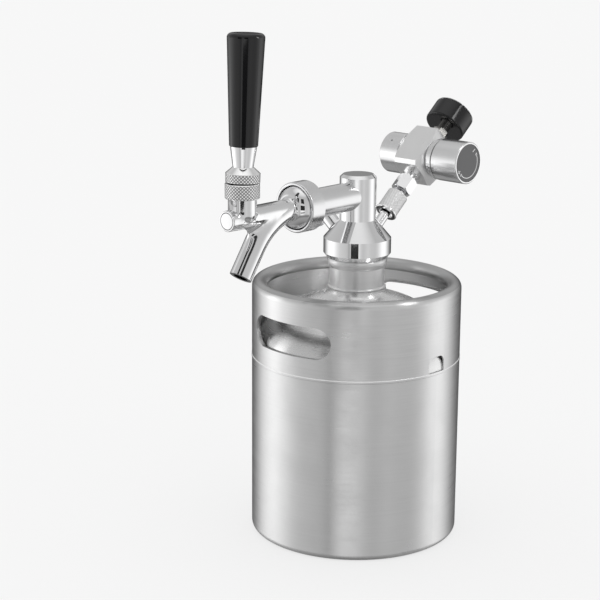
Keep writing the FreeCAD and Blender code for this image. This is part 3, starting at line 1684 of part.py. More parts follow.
nodes = {}
for maker in MAKERS:
    nodes[maker.__name__] = maker()
    nodes[maker.__name__].Label = maker.__name__
doc.recompute()

for obj in doc.Objects:
    if "Invalid" in obj.State or "Error" in obj.State:
        raise RuntimeError(f"{obj.Name}: {obj.State}")
for label, obj in nodes.items():
    if obj.Shape.isNull() or not obj.Shape.isValid():
        raise RuntimeError(f"{label} has no valid shape")

os.makedirs("parts", exist_ok=True)
for label, obj in nodes.items():
    obj.Shape.exportStep(f"parts/{label}.step")
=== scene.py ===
from math import cos, hypot, pi, radians, sin, sqrt, tau

import bmesh
import bpy
from mathutils import Matrix, Vector


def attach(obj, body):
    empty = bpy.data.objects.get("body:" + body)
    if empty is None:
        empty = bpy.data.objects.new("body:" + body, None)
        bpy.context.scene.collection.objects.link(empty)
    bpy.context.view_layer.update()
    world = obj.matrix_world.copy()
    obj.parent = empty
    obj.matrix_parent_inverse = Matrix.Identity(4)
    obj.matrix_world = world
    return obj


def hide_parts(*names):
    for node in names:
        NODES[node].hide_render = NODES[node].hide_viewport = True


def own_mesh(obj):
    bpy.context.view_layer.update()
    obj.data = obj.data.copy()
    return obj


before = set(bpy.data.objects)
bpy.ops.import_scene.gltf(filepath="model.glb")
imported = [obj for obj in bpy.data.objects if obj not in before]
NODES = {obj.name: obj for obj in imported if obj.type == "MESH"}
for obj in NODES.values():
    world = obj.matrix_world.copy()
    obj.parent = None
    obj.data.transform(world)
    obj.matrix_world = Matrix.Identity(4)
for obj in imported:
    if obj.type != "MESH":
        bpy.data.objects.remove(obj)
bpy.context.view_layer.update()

MM = 0.001


def along(direction, base):
    """A placement in mm whose +Z runs along the direction, with its X as level as it can be."""
    z = Vector(direction).normalized()
    x = Vector((1, 0, 0)) if abs(z.x) < 0.5 else Vector((0, 1, 0)).cross(z).normalized()
    y = z.cross(x).normalized()
    turn = Matrix((x, y, z)).transposed().to_4x4()
    return Matrix.Translation(Vector(base) * MM) @ turn


# The axes that the pieces are turned on, as the solids have them, in mm.
PORT_ANGLE = radians(40.2)
LEAN_ANGLE = radians(2)
LINE_HEIGHT, LEVER_REACH, BALL_HEIGHT = 277, 129.7, 292.7
PORT_REACH, PORT_HEIGHT = 22.7, 247.703
KNOB_REACH, KNOB_HEIGHT, KNOB_FACE = 82.123, 297.92, 45.5
UPRIGHT = along((0, 0, 1), (0, 0, 0))
LINE = along((0, -1, 0), (0, 0, LINE_HEIGHT))
BOSS = along((0, 0, 1), (0, -LEVER_REACH, LINE_HEIGHT))
LEVER = along((0, sin(LEAN_ANGLE), cos(LEAN_ANGLE)), (0, -LEVER_REACH, BALL_HEIGHT))
GAS = along((0, cos(PORT_ANGLE), sin(PORT_ANGLE)), (0, PORT_REACH, PORT_HEIGHT))
RELIEF = along((-cos(PORT_ANGLE), 0, sin(PORT_ANGLE)), (-PORT_REACH, 0, PORT_HEIGHT))
REGULATOR = along((1, 0, 0), (0, KNOB_REACH, KNOB_HEIGHT))


# Shader wiring

def add(tree, kind, **settings):
    node = tree.nodes.new(kind)
    for name, value in settings.items():
        setattr(node, name, value)
    return node


def plug(tree, value, socket):
    """Wires an output to the socket, or types a plain value into it."""
    if isinstance(value, bpy.types.NodeSocket):
        tree.links.new(value, socket)
    elif value is not None:
        socket.default_value = value


def calc(tree, operation, a, b=None, clamp=False):
    node = add(tree, "ShaderNodeMath", operation=operation, use_clamp=clamp)
    plug(tree, a, node.inputs[0])
    plug(tree, b, node.inputs[1])
    return node.outputs[0]


def spread(tree, value, low, high, to_low=0.0, to_high=1.0):
    """A value's stretch from low to high becomes one from to_low to to_high, with soft ends."""
    node = add(tree, "ShaderNodeMapRange", interpolation_type="SMOOTHSTEP")
    for socket, number in zip(node.inputs, (value, low, high, to_low, to_high)):
        plug(tree, number, socket)
    return node.outputs[0]


def blend_colour(tree, amount, dark, light):
    node = add(tree, "ShaderNodeMix", data_type="RGBA")
    plug(tree, amount, node.inputs[0])
    plug(tree, dark, node.inputs[6])
    plug(tree, light, node.inputs[7])
    return node.outputs[2]


def effect(name, inputs, outputs):
    """A shader group with a vector and named numbers going in, and named numbers coming out."""
    tree = bpy.data.node_groups.new(name, "ShaderNodeTree")
    tree.interface.new_socket(name="Place", in_out="INPUT", socket_type="NodeSocketVector")
    for label, value in inputs.items():
        socket = tree.interface.new_socket(name=label, in_out="INPUT", socket_type="NodeSocketFloat")
        socket.default_value = value
    for label in outputs:
        tree.interface.new_socket(name=label, in_out="OUTPUT", socket_type="NodeSocketFloat")
    return tree, add(tree, "NodeGroupInput").outputs, add(tree, "NodeGroupOutput").inputs


def noise(tree, vector, scale, detail=2.0, roughness=0.5):
    node = add(tree, "ShaderNodeTexNoise")
    plug(tree, vector, node.inputs["Vector"])
    plug(tree, scale, node.inputs["Scale"])
    node.inputs["Detail"].default_value = detail
    node.inputs["Roughness"].default_value = roughness
    return node.outputs[0]


def split(tree, vector):
    node = add(tree, "ShaderNodeSeparateXYZ")
    plug(tree, vector, node.inputs[0])
    return node.outputs


def join(tree, x, y, z):
    node = add(tree, "ShaderNodeCombineXYZ")
    for socket, value in zip(node.inputs, (x, y, z)):
        plug(tree, value, socket)
    return node.outputs[0]


def radius_of(tree, x, y):
    return calc(tree, "SQRT", calc(tree, "ADD", calc(tree, "MULTIPLY", x, x), calc(tree, "MULTIPLY", y, y)))


def make_turned_lines():
    """The fine rings that a lathe or a brushing wheel leaves round an axis."""
    tree, given, out = effect("turned_lines", {"Lines": 2600.0}, ("Height", "Streak"))
    x, y, z = split(tree, given["Place"])
    run = calc(tree, "SUBTRACT", z, radius_of(tree, x, y))
    fine = join(tree, calc(tree, "MULTIPLY", x, 28.0), calc(tree, "MULTIPLY", y, 28.0),
                calc(tree, "MULTIPLY", run, given["Lines"]))
    plug(tree, noise(tree, fine, 1.0, 3.0, 0.65), out["Height"])
    broad = join(tree, calc(tree, "MULTIPLY", x, 12.0), calc(tree, "MULTIPLY", y, 12.0),
                 calc(tree, "MULTIPLY", run, calc(tree, "MULTIPLY", given["Lines"], 0.12)))
    plug(tree, noise(tree, broad, 1.0, 4.0, 0.7), out["Streak"])
    return tree


def make_diamond_knurl():
    """Two crossed sets of grooves round an axis, leaving rows of small pyramids."""
    tree, given, out = effect("diamond_knurl", {"Count": 60.0, "Rows": 700.0}, ("Height", "Crown"))
    x, y, z = split(tree, given["Place"])
    around = calc(tree, "MULTIPLY", calc(tree, "ARCTAN2", y, x), calc(tree, "DIVIDE", given["Count"], tau))
    rise = calc(tree, "MULTIPLY", z, given["Rows"])
    waves = []
    for way in ("ADD", "SUBTRACT"):
        waves.append(calc(tree, "PINGPONG", calc(tree, way, around, rise), 0.5))
    height = calc(tree, "MULTIPLY", calc(tree, "MINIMUM", *waves), 2.0)
    plug(tree, height, out["Height"])
    plug(tree, spread(tree, height, 0.05, 0.6), out["Crown"])
    return tree


def make_screw_thread():
    """The ridges of a thread round an axis."""
    tree, given, out = effect("screw_thread", {"Pitch": 0.001}, ("Height",))
    x, y, z = split(tree, given["Place"])
    turn = calc(tree, "DIVIDE", calc(tree, "ARCTAN2", y, x), tau)
    ridge = calc(tree, "PINGPONG", calc(tree, "ADD", calc(tree, "DIVIDE", z, given["Pitch"]), turn), 0.5)
    plug(tree, calc(tree, "MULTIPLY", ridge, 2.0), out["Height"])
    return tree


def make_handling_marks():
    """Faint smudges and rubbed spots that handling leaves on a smooth surface."""
    tree, given, out = effect("handling_marks", {"Size": 60.0}, ("Smudge", "Grit"))
    plug(tree, spread(tree, noise(tree, given["Place"], given["Size"], 3.0, 0.6), 0.35, 0.7), out["Smudge"])
    grit = calc(tree, "MULTIPLY", given["Size"], 40.0)
    plug(tree, noise(tree, given["Place"], grit, 2.0, 0.7), out["Grit"])
    return tree


TURNED_LINES = make_turned_lines()
DIAMOND_KNURL = make_diamond_knurl()
SCREW_THREAD = make_screw_thread()
HANDLING_MARKS = make_handling_marks()


class Finish:
    """A material being built: its tree, its Principled shader, and places read along an axis."""

    def __init__(self, name, axis=UPRIGHT):
        self.material = bpy.data.materials.new(name)
        self.material.use_nodes = True
        self.tree = self.material.node_tree
        self.tree.nodes.clear()
        self.shader = add(self.tree, "ShaderNodeBsdfPrincipled")
        output = add(self.tree, "ShaderNodeOutputMaterial")
        self.tree.links.new(self.shader.outputs[0], output.inputs["Surface"])
        self.spot = add(self.tree, "ShaderNodeTexCoord").outputs["Object"]
        self.place = self.seen_from(axis)
        self.heights = []

    def seen_from(self, axis):
        """Object coordinates turned into an axis's own."""
        back = axis.inverted()
        mapping = add(self.tree, "ShaderNodeMapping")
        mapping.inputs["Location"].default_value = back.to_translation()
        mapping.inputs["Rotation"].default_value = back.to_euler()
        self.tree.links.new(self.spot, mapping.inputs["Vector"])
        return mapping.outputs[0]

    def set(self, **sockets):
        for label, value in sockets.items():
            plug(self.tree, value, self.shader.inputs[label.replace("_", " ")])
        return self

    def use(self, effect_tree, **numbers):
        node = add(self.tree, "ShaderNodeGroup", node_tree=effect_tree)
        plug(self.tree, self.place, node.inputs["Place"])
        for label, value in numbers.items():
            node.inputs[label].default_value = value
        return node.outputs

    def bump(self, height, depth):
        """Adds a relief of the given depth in mm; each relief lies on the one before."""
        node = add(self.tree, "ShaderNodeBump")
        node.inputs["Distance"].default_value = depth * MM
        plug(self.tree, height, node.inputs["Height"])
        if self.heights:
            plug(self.tree, self.heights[-1], node.inputs["Normal"])
        self.heights.append(node.outputs[0])
        plug(self.tree, node.outputs[0], self.shader.inputs["Normal"])
        return self


def grey(value):
    return (value, value, value, 1.0)


def tint(colour, by):
    return (colour[0] * by, colour[1] * by, colour[2] * by, 1.0)


def turned_metal(name, axis, colour, roughness, lines=2600.0, depth=0.0012, streaks=0.06, stretch=0.0):
    """Metal finished on a wheel or lathe: rings round the axis, a little uneven in tone and gloss."""
    made = Finish(name, axis)
    rings = made.use(TURNED_LINES, Lines=lines)
    marks = made.use(HANDLING_MARKS, Size=45.0)
    tree = made.tree
    made.set(
        Metallic=1.0,
        Base_Color=blend_colour(tree, rings["Streak"],
                                tint(colour, 1 - streaks), tint(colour, 1 + streaks * 0.6)),
        Roughness=calc(tree, "ADD", calc(tree, "MULTIPLY", marks["Smudge"], roughness * 0.16),
                       spread(tree, rings["Streak"], 0.3, 0.7, roughness * 0.9, roughness * 1.08)),
    )
    if stretch:
        made.set(Anisotropic=stretch, Anisotropic_Rotation=0.25)
    made.bump(rings["Height"], depth)
    return made


def polished_metal(name, axis, roughness=0.045):
    """Bright plating: nearly a mirror, with the faintest waviness and wiping marks."""
    made = Finish(name, axis)
    marks = made.use(HANDLING_MARKS, Size=38.0)
    tree = made.tree
    made.set(
        Metallic=1.0,
        Base_Color=blend_colour(tree, marks["Smudge"], tint(CHROME, 1.0), tint(CHROME, 0.97)),
        Roughness=spread(tree, marks["Smudge"], 0.0, 1.0, roughness, roughness * 1.5),
    )
    made.bump(marks["Smudge"], 0.004)
    return made


def knurled_metal(name, axis, low, high, inner, count, rows,
                  groove=0.3, depth=0.2, colour=(0.95, 0.95, 0.95)):
    """Bright metal with a diamond knurl between two heights and beyond an inner radius, in mm.

    Count is the diamonds round the ring, rows the diamonds to a metre along it, and groove the share of the
    colour left in the grooves: painted shade."""
    made = Finish(name, axis)
    tree = made.tree
    x, y, z = split(tree, made.place)
    foot = spread(tree, z, (low - 0.1) * MM, low * MM)
    head = spread(tree, z, (high + 0.1) * MM, high * MM)
    band = calc(tree, "MULTIPLY", foot, head)
    band = calc(tree, "MULTIPLY", band, spread(tree, radius_of(tree, x, y), (inner - 0.08) * MM, inner * MM))
    knurl = made.use(DIAMOND_KNURL, Count=count, Rows=rows)
    marks = made.use(HANDLING_MARKS, Size=50.0)
    # Painted shade: the grooves between the knurl's diamonds get a darker colour, a share of it set by
    # groove.
    crown = calc(tree, "ADD", knurl["Crown"], calc(tree, "SUBTRACT", 1.0, band), clamp=True)
    made.set(
        Metallic=spread(tree, band, 0.0, 1.0, 1.0, 0.55),
        Base_Color=blend_colour(tree, crown, tint(colour, groove), tint(colour, 1.0)),
        Roughness=calc(tree, "ADD", spread(tree, band, 0.0, 1.0, 0.07, 0.3),
                       calc(tree, "MULTIPLY", marks["Smudge"], 0.03)),
    )
    made.bump(calc(tree, "MULTIPLY", knurl["Height"], band), depth)
    return made


def moulded(name, axis, colour, roughness, grit=0.01):
    """Moulded plastic, rubber or paint: an even colour, broken by grit and by rubbed patches."""
    made = Finish(name, axis)
    marks = made.use(HANDLING_MARKS, Size=55.0)
    tree = made.tree
    made.set(
        Base_Color=blend_colour(tree, marks["Smudge"], tint(colour, 0.94), tint(colour, 1.06)),
        Roughness=spread(tree, marks["Smudge"], 0.0, 1.0, roughness * 0.92, roughness * 1.12),
    )
    made.bump(marks["Grit"], grit)
    return made


def shaded(made, full, clear, share):
    """Paints shade into a metal: darkens it to a share of its colour at one radius in mm, fading to none of
    that at another.
    """
    tree = made.tree
    x, y, z = split(tree, made.place)
    where = spread(tree, radius_of(tree, x, y), full * MM, clear * MM)
    colour = made.shader.inputs["Base Color"].links[0].from_socket
    dim = add(tree, "ShaderNodeMix", data_type="RGBA", blend_type="MULTIPLY")
    dim.inputs[0].default_value = 1.0
    plug(tree, colour, dim.inputs[6])
    plug(tree, spread(tree, where, 0.0, 1.0, share, 1.0), dim.inputs[7])
    return made.set(Base_Color=dim.outputs[2])


def wear(finish, *nodes):
    """Gives solids their finish."""
    for name in nodes:
        mesh = NODES[name].data
        mesh.materials.clear()
        mesh.materials.append(finish.material)


STEEL = (0.80, 0.80, 0.80)
BRIGHT = (0.88, 0.88, 0.885)
CHROME = (0.9, 0.9, 0.905)
BRASS = (0.78, 0.66, 0.40)
NICKEL = (0.62, 0.61, 0.585)

KEG_STEEL = turned_metal("brushed_keg_steel", UPRIGHT, STEEL, 0.30, lines=3600, depth=0.002, streaks=0.09,
                         stretch=0.85)
DOME_STEEL = turned_metal("brushed_dome_steel", UPRIGHT, (0.88, 0.88, 0.88), 0.26, streaks=0.06, stretch=0.8)
CHIME_STEEL = turned_metal("brushed_chime_steel", UPRIGHT, STEEL, 0.30, lines=3600, depth=0.003, streaks=0.14,
                           stretch=0.85)
NECK_STEEL = turned_metal("satin_neck_steel", UPRIGHT, (0.95, 0.95, 0.95), 0.36, depth=0.001, streaks=0.05,
                          stretch=0.88)
wear(KEG_STEEL, "keg_lower_shell")
# Painted shade: the dome's colour is darkened towards its outer edge, under the chime.
wear(shaded(DOME_STEEL, full=78, clear=52, share=0.9), "keg_dome")
# Painted shade: the chime's colour is darkened on its inner wall.
wear(shaded(CHIME_STEEL, full=82.3, clear=82.6, share=0.72), "top_chime")
wear(NECK_STEEL.set(Metallic=0.9), "keg_neck")
wear(polished_metal("cap_chrome", UPRIGHT), "tap_cap", "tap_post")
wear(turned_metal("satin_shank_steel", LINE, (0.82, 0.82, 0.825), 0.2, lines=2400, streaks=0.04),
     "shank_tube", "coupling_nut")


def faucet_finish():
    """Bright plating, with the thin groove that sets off the plug in the barrel's stub end, its colour
    painted dark grey there as shade.
    """
    inner, outer, fade, face = 5.9, 6.7, 0.25, 145.5
    made = polished_metal("faucet_chrome", BOSS)
    tree = made.tree
    x, y, z = split(tree, made.seen_from(LINE))
    across = radius_of(tree, x, y)
    groove = calc(tree, "MULTIPLY", spread(tree, across, inner * MM, (inner + fade) * MM),
                  spread(tree, across, outer * MM, (outer - fade) * MM))
    groove = calc(tree, "MULTIPLY", groove, spread(tree, z, face * MM, (face + 0.2) * MM))
    colour = made.shader.inputs["Base Color"].links[0].from_socket
    # Painted shade: the groove is coloured dark grey, as well as cut in by the bump.
    made.set(Base_Color=blend_colour(tree, groove, colour, grey(0.16)))
    return made.bump(groove, -0.15)


FAUCET_CHROME = faucet_finish()
wear(FAUCET_CHROME, "faucet_body", "lever", "handle_ferrule")
# The knurls' grooves are painted darker as shade, to the share given by groove.
COARSE = {"inner": 12.9, "count": 32, "rows": 405, "groove": 0.16, "depth": 0.25, "colour": (1, 1, 1)}
wear(knurled_metal("bonnet_knurl", BOSS, low=15.9, high=26.1, **COARSE), "bonnet")
wear(knurled_metal("collar_knurl", LEVER, low=12.0, high=18.1, **COARSE), "lever_collar")
wear(turned_metal("satin_shaft_steel", LINE, BRIGHT, 0.18), "valve_shaft", "shaft_nut")
wear(polished_metal("coupler_chrome", GAS, roughness=0.07), "gas_post", "coupler_body")
# Painted shade in this knurl's grooves too, to the share given by groove.
wear(knurled_metal("sleeve_knurl", GAS, low=17.2, high=34.5, inner=8.55, count=30, rows=560,
                   groove=0.6, depth=0.12), "coupler_sleeve")
wear(polished_metal("relief_chrome", RELIEF, roughness=0.09), "relief_body")
wear(turned_metal("relief_stem_steel", RELIEF, BRIGHT, 0.16), "relief_stem")
wear(turned_metal("dip_tube_steel", UPRIGHT, STEEL, 0.2), "dip_tube")
wear(turned_metal("block_nickel", REGULATOR, (0.9, 0.9, 0.9), 0.3, lines=2000, depth=0.0001, streaks=0.004),
     "regulator_block")
wear(turned_metal("spring_house_steel", REGULATOR, BRIGHT, 0.13, lines=3200, depth=0.001, streaks=0.05),
     "regulator_bonnet")
wear(turned_metal("knob_steel", REGULATOR, BRIGHT, 0.22, depth=0.0014, streaks=0.05),
     "regulator_knob", "adjusting_screw")
wear(turned_metal("spring_wire", UPRIGHT, (0.62, 0.62, 0.64), 0.22), "relief_spring", "coupler_spring",
     "poppet_spring", "adjusting_spring", "coupler_balls", "relief_pull_ring")
wear(turned_metal("turned_brass", REGULATOR, BRASS, 0.26), "regulator_piston", "valve_poppet", "spring_nut")
wear(turned_metal("movement_brass", GAS, BRASS, 0.26), "gauge_movement")
wear(turned_metal("stem_nickel", GAS, NICKEL, 0.18), "gauge_stem")
wear(turned_metal("pin_steel", REGULATOR, STEEL, 0.2), "piercing_pin")
wear(moulded("black_rubber", UPRIGHT, (0.022, 0.022, 0.022), 0.6), "neck_seal", "shank_washer", "valve_seal",
     "relief_gasket", "relief_seal", "coupler_oring", "piston_oring", "cartridge_seal")
wear(moulded("white_plastic", UPRIGHT, (0.8, 0.8, 0.77), 0.4), "dip_tube_bush", "friction_ring")
wear(moulded("handle_black", LEVER, (0.006, 0.006, 0.0065), 0.09, 0.0008), "tap_handle")
wear(moulded("gauge_black", GAS, (0.006, 0.006, 0.0065), 0.13, 0.001), "gauge_case")
wear(moulded("dial_white", GAS, (0.86, 0.86, 0.84), 0.5, 0.001), "gauge_dial")
wear(moulded("pointer_black", GAS, (0.012, 0.012, 0.012), 0.4, 0.001), "gauge_pointer")
wear(moulded("knob_face_grey", REGULATOR, (0.115, 0.115, 0.117), 0.5, 0.008), "knob_face_disc")


def socket_finish():
    """The cartridge cup: satin outside, with a thread in its bore."""
    bore_radius, pitch, thread_depth = 5.2, 0.977, 0.45
    made = turned_metal("socket_steel", REGULATOR, BRIGHT, 0.2, streaks=0.05)
    tree = made.tree
    x, y, z = split(tree, made.place)
    bore = spread(tree, radius_of(tree, x, y), (bore_radius + 0.1) * MM, bore_radius * MM)
    thread = made.use(SCREW_THREAD, Pitch=pitch * MM)["Height"]
    return made.bump(calc(tree, "MULTIPLY", thread, bore), thread_depth)


wear(socket_finish(), "cartridge_socket")


def lens_finish():
    """The gauge's clear window, with the faintest wiping marks."""
    made = Finish("lens_clear", GAS)
    marks = made.use(HANDLING_MARKS, Size=40.0)
    made.set(Base_Color=(0.97, 0.98, 0.98, 1.0), IOR=1.49, Transmission_Weight=1.0,
             Roughness=spread(made.tree, marks["Smudge"], 0.0, 1.0, 0.01, 0.03))
    return made.bump(marks["Smudge"], 0.001)


wear(lens_finish(), "gauge_lens")


# New pieces

def mesh_of(name, shape):
    """A bmesh made into a mesh, and used up."""
    mesh = bpy.data.meshes.new(name)
    shape.to_mesh(mesh)
    shape.free()
    return mesh


def stand(name, mesh):
    thing = bpy.data.objects.new(name, mesh)
    bpy.context.scene.collection.objects.link(thing)
    return thing


def piece(name, shape, placement, finish, body):
    """Turns a bmesh in mm into a piece of the scene, with its place in its mesh."""
    bmesh.ops.remove_doubles(shape, verts=shape.verts, dist=0.001)
    bmesh.ops.recalc_face_normals(shape, faces=shape.faces)
    bmesh.ops.transform(shape, matrix=placement @ Matrix.Scale(MM, 4), verts=shape.verts)
    mesh = mesh_of(name, shape)
    mesh.materials.append(finish.material)
    thing = stand(name, mesh)
    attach(thing, body)


def merged(node):
    """A copy of a solid's mesh in one skin, because the solid's own is loose triangles."""
    shape = bmesh.new()
    shape.from_mesh(NODES[node].data)
    bmesh.ops.remove_doubles(shape, verts=shape.verts, dist=0.002 * MM)
    return shape


def soften(mesh):
    """Shades a mesh smooth, apart from its corners."""
    for polygon in mesh.polygons:
        polygon.use_smooth = True
    mesh.set_sharp_from_angle(angle=radians(38))


def bar(shape, length, width, middle, angle):
    """A flat rounded bar of ink, its middle and its turn given."""
    made = bmesh.ops.create_grid(shape, x_segments=4, y_segments=2, size=0.5)
    place = Matrix.Translation((*middle, 0)) @ Matrix.Rotation(angle, 4, "Z")
    bmesh.ops.transform(shape, matrix=place @ Matrix.Diagonal((length, width, 1, 1)), verts=made["verts"])


def band(shape, radius, width, start, end, steps):
    """A flat band of ink round the middle, from one angle to another."""
    first = shape.verts.new((radius - width / 2, 0, 0))
    second = shape.verts.new((radius + width / 2, 0, 0))
    edge = shape.edges.new((first, second))
    bmesh.ops.rotate(shape, cent=(0, 0, 0), matrix=Matrix.Rotation(start, 3, "Z"), verts=[first, second])
    bmesh.ops.spin(shape, geom=[first, second, edge], cent=(0, 0, 0), axis=(0, 0, 1), dvec=(0, 0, 0),
                   angle=end - start, steps=steps, use_merge=False, use_duplicate=False)


def arrowhead(shape, radius, angle, way, length):
    """A three-cornered arrowhead on a circle, pointing round it one way or the other."""
    made = bmesh.ops.create_circle(shape, cap_ends=True, segments=3, radius=length * 0.62)
    place = Matrix.Rotation(angle, 4, "Z") @ Matrix.Translation((radius, 0, 0))
    bmesh.ops.transform(shape, matrix=place @ Matrix.Rotation(way * pi / 2, 4, "Z"), verts=made["verts"])


def raise_ink(shape, thickness):
    """Gives flat ink its thickness, upwards."""
    made = bmesh.ops.extrude_face_region(shape, geom=shape.faces[:])
    lifted = [part for part in made["geom"] if isinstance(part, bmesh.types.BMVert)]
    bmesh.ops.translate(shape, vec=(0, 0, thickness), verts=lifted)


white_ink = moulded("white_ink", REGULATOR, (0.8, 0.8, 0.8), 0.45, 0.002)
black_ink = moulded("black_ink", GAS, (0.02, 0.02, 0.02), 0.5, 0.001)


def knob_marks():
    """The double arrow with its minus and plus, printed on the knob's grey face."""
    shape = bmesh.new()
    top, foot, radius = radians(30), radians(-134), 12.2
    band(shape, radius, 0.55, foot, top, 44)
    arrowhead(shape, radius, top, 1, 2.3)
    arrowhead(shape, radius, foot, -1, 2.3)
    bar(shape, 3.8, 0.6, (7.3, 9.4), radians(36))
    for turn in (32, 122):
        bar(shape, 3.4, 0.6, (-11.3, -6.2), radians(turn))
    raise_ink(shape, thickness=0.04)
    facing = Matrix(((0, 0, 1), (1, 0, 0), (0, 1, 0))).to_4x4()
    face = Matrix.Translation(Vector((KNOB_FACE, KNOB_REACH, KNOB_HEIGHT)) * MM) @ facing
    piece("knob_marks", shape, face, white_ink, "knob")


def number_shape(text, size):
    """A number as flat faces, in mm, centred."""
    curve = bpy.data.curves.new("number", "FONT")
    curve.body = text
    curve.size = size
    curve.align_x = "CENTER"
    curve.align_y = "CENTER"
    curve.resolution_u = 3
    holder = bpy.data.objects.new("number", curve)
    bpy.context.scene.collection.objects.link(holder)
    mesh = bpy.data.meshes.new_from_object(holder.evaluated_get(bpy.context.evaluated_depsgraph_get()))
    shape = bmesh.new()
    shape.from_mesh(mesh)
    bpy.data.objects.remove(holder)
    bpy.data.curves.remove(curve)
    bpy.data.meshes.remove(mesh)
    return shape


def gauge_scale():
    """The gauge's scale: an arc, long and short ticks, and plain numbers read with +X upwards."""
    shape = bmesh.new()
    start, sweep, full, rim, figures, face = radians(135), radians(-270), 60, 12.9, 8.6, 123.4
    band(shape, rim, 0.25, start, start + sweep, 60)
    for step in range(0, full + 1, 2):
        length, width = (2.0, 0.4) if step % 10 == 0 else (1.1, 0.22)
        angle = start + sweep * step / full
        middle = rim - length / 2
        bar(shape, length, width, (middle * cos(angle), middle * sin(angle)), angle)
    for number in range(0, full + 1, 20):
        angle = start + sweep * number / full
        digits = number_shape(str(number), size=2.9)
        spot = Matrix.Translation((figures * cos(angle), figures * sin(angle), 0))
        bmesh.ops.transform(digits, matrix=spot @ Matrix.Rotation(-pi / 2, 4, "Z"), verts=digits.verts)
        held = mesh_of("number", digits)
        shape.from_mesh(held)
        bpy.data.meshes.remove(held)
    raise_ink(shape, thickness=0.03)
    dial = GAS @ Matrix.Translation((0, 0, face * MM))
    piece("gauge_scale", shape, dial, black_ink, "regulator")


def seam_bead():
    """The raised line where the dome's skirt meets the shell, its near-white, half-matt colour painting a
    highlight along it.
    """
    thickness, out, height = 0.55, 83.78, 147.4
    shape = bmesh.new()
    made = bmesh.ops.create_circle(shape, segments=16, radius=thickness)
    bmesh.ops.transform(shape, matrix=Matrix.Translation((out, 0, height)) @ Matrix.Rotation(pi / 2, 4, "X"),
                        verts=made["verts"])
    bmesh.ops.spin(shape, geom=shape.verts[:] + shape.edges[:], cent=(0, 0, 0), axis=(0, 0, 1),
                   dvec=(0, 0, 0), angle=tau, steps=240, use_merge=True, use_duplicate=False)
    for face in shape.faces:
        face.smooth = True
    # Painted highlight: the bead's steel is near-white and half matt, so it shows bright however it is lit.
    bright = turned_metal("seam_steel_painted_highlight", UPRIGHT, (0.97, 0.97, 0.97), 0.34, lines=2200, depth=0.0008,
                          streaks=0.03)
    piece("seam_bead", shape, UPRIGHT, bright.set(Metallic=0.5), "keg")


# The faucet's radii of barrel and spout, its spout's bend and where along the line that starts, in mm.
BARREL, SPOUT, BEND, SPOUT_START = 7.9, 8.7, 55.0, 72.4


def crotch_web(shape, ball):
    """The web under the barrel: the skin a ball leaves as it rolls along the crease of barrel and spout."""
    hub = Vector((0, -BEND, SPOUT_START))
    rows = []
    for step in range(-24, 25):
        turn = radians(step * 4.5)
        side, drop = (BARREL + ball) * sin(turn), (BARREL + ball) * cos(turn)
        reach = BEND + sqrt((SPOUT + ball) ** 2 - side * side)
        centre = Vector((side, -drop, SPOUT_START + sqrt(reach * reach - (BEND - drop) ** 2)))
        core = hub + (Vector((0, centre.y, centre.z)) - hub).normalized() * BEND
        start = Vector((BARREL * sin(turn), -BARREL * cos(turn), centre.z))
        end = core + (centre - core).normalized() * SPOUT
        swing = (start - centre).rotation_difference(end - centre)
        known = len(shape.edges)
        bmesh.ops.spin(shape, geom=[shape.verts.new(start)], cent=centre, axis=swing.axis, dvec=(0, 0, 0),
                       angle=swing.angle, steps=10, use_merge=False, use_duplicate=False)
        shape.edges.ensure_lookup_table()
        rows.append(shape.edges[known:])
    for row, following in zip(rows, rows[1:]):
        bmesh.ops.bridge_loops(shape, edges=row + following)
    bmesh.ops.recalc_face_normals(shape, faces=shape.faces)
    bmesh.ops.solidify(shape, geom=shape.faces[:], thickness=2.0)


# Balls that hold the creases, in the line's own mm: height, place along the line, and the radii
# within which a point belongs to a web wholly and beyond which it doesn't.
CREASES = ((-9, 121, 9, 15), (-4, 106, 9, 14), (0, LEVER_REACH, 11, 14))
WEB_TOP, WEB_FADE = 6.5, 3
BARREL_BORE, BOSS_BORE, SPOUT_BORE = BARREL - 0.9, 9.6, 7


def near_the_webs(spot):
    """How far a point of the faucet, in its line's own mm, belongs to the cast webs: 0 to 1."""
    side, rise, z = spot
    from_bend = hypot(BEND + rise, z - SPOUT_START) - BEND
    in_barrel = hypot(side, rise) < BARREL_BORE
    in_boss = hypot(side, z - LEVER_REACH) < BOSS_BORE and rise > -2
    in_spout = abs(from_bend) < SPOUT_BORE and hypot(from_bend, side) < SPOUT_BORE
    if in_barrel or in_boss or in_spout or rise > WEB_TOP:
        return 0.0
    share = 0.0
    for height, place, whole, end in CREASES:
        away = hypot(side, rise - height, z - place)
        share = max(share, min(1.0, (end - away) / (end - whole)))
    return share * min(1.0, (WEB_TOP - rise) / WEB_FADE)


# Planes round the webs, in the line's own mm: a point, and the way out.
# Beyond them the solid's own surface stays.
SLOPE = radians(56)
WEB_BOUNDS = (
    (Vector((0, 0, 89)), Vector((0, 0, -1))),
    (Vector((0, 0, 143.8)), Vector((0, 0, 1))),
    (Vector((0, -29.2, 121.4)), Vector((0, -sin(SLOPE), cos(SLOPE)))),
    (Vector((0, 6.8, 0)), Vector((0, 1, 0))),
)


def keep(shape, bound, inside):
    """Cuts a shape at a plane and keeps one side of it."""
    spot, way = bound
    bmesh.ops.bisect_plane(shape, geom=shape.verts[:] + shape.edges[:] + shape.faces[:], dist=0.0001 * MM,
                           plane_co=LINE @ (spot * MM), plane_no=LINE.to_3x3() @ way,
                           clear_outer=inside, clear_inner=not inside)


def settled(thing):
    """The object's mesh with its modifiers taken up."""
    return bpy.data.meshes.new_from_object(thing.evaluated_get(bpy.context.evaluated_depsgraph_get()))


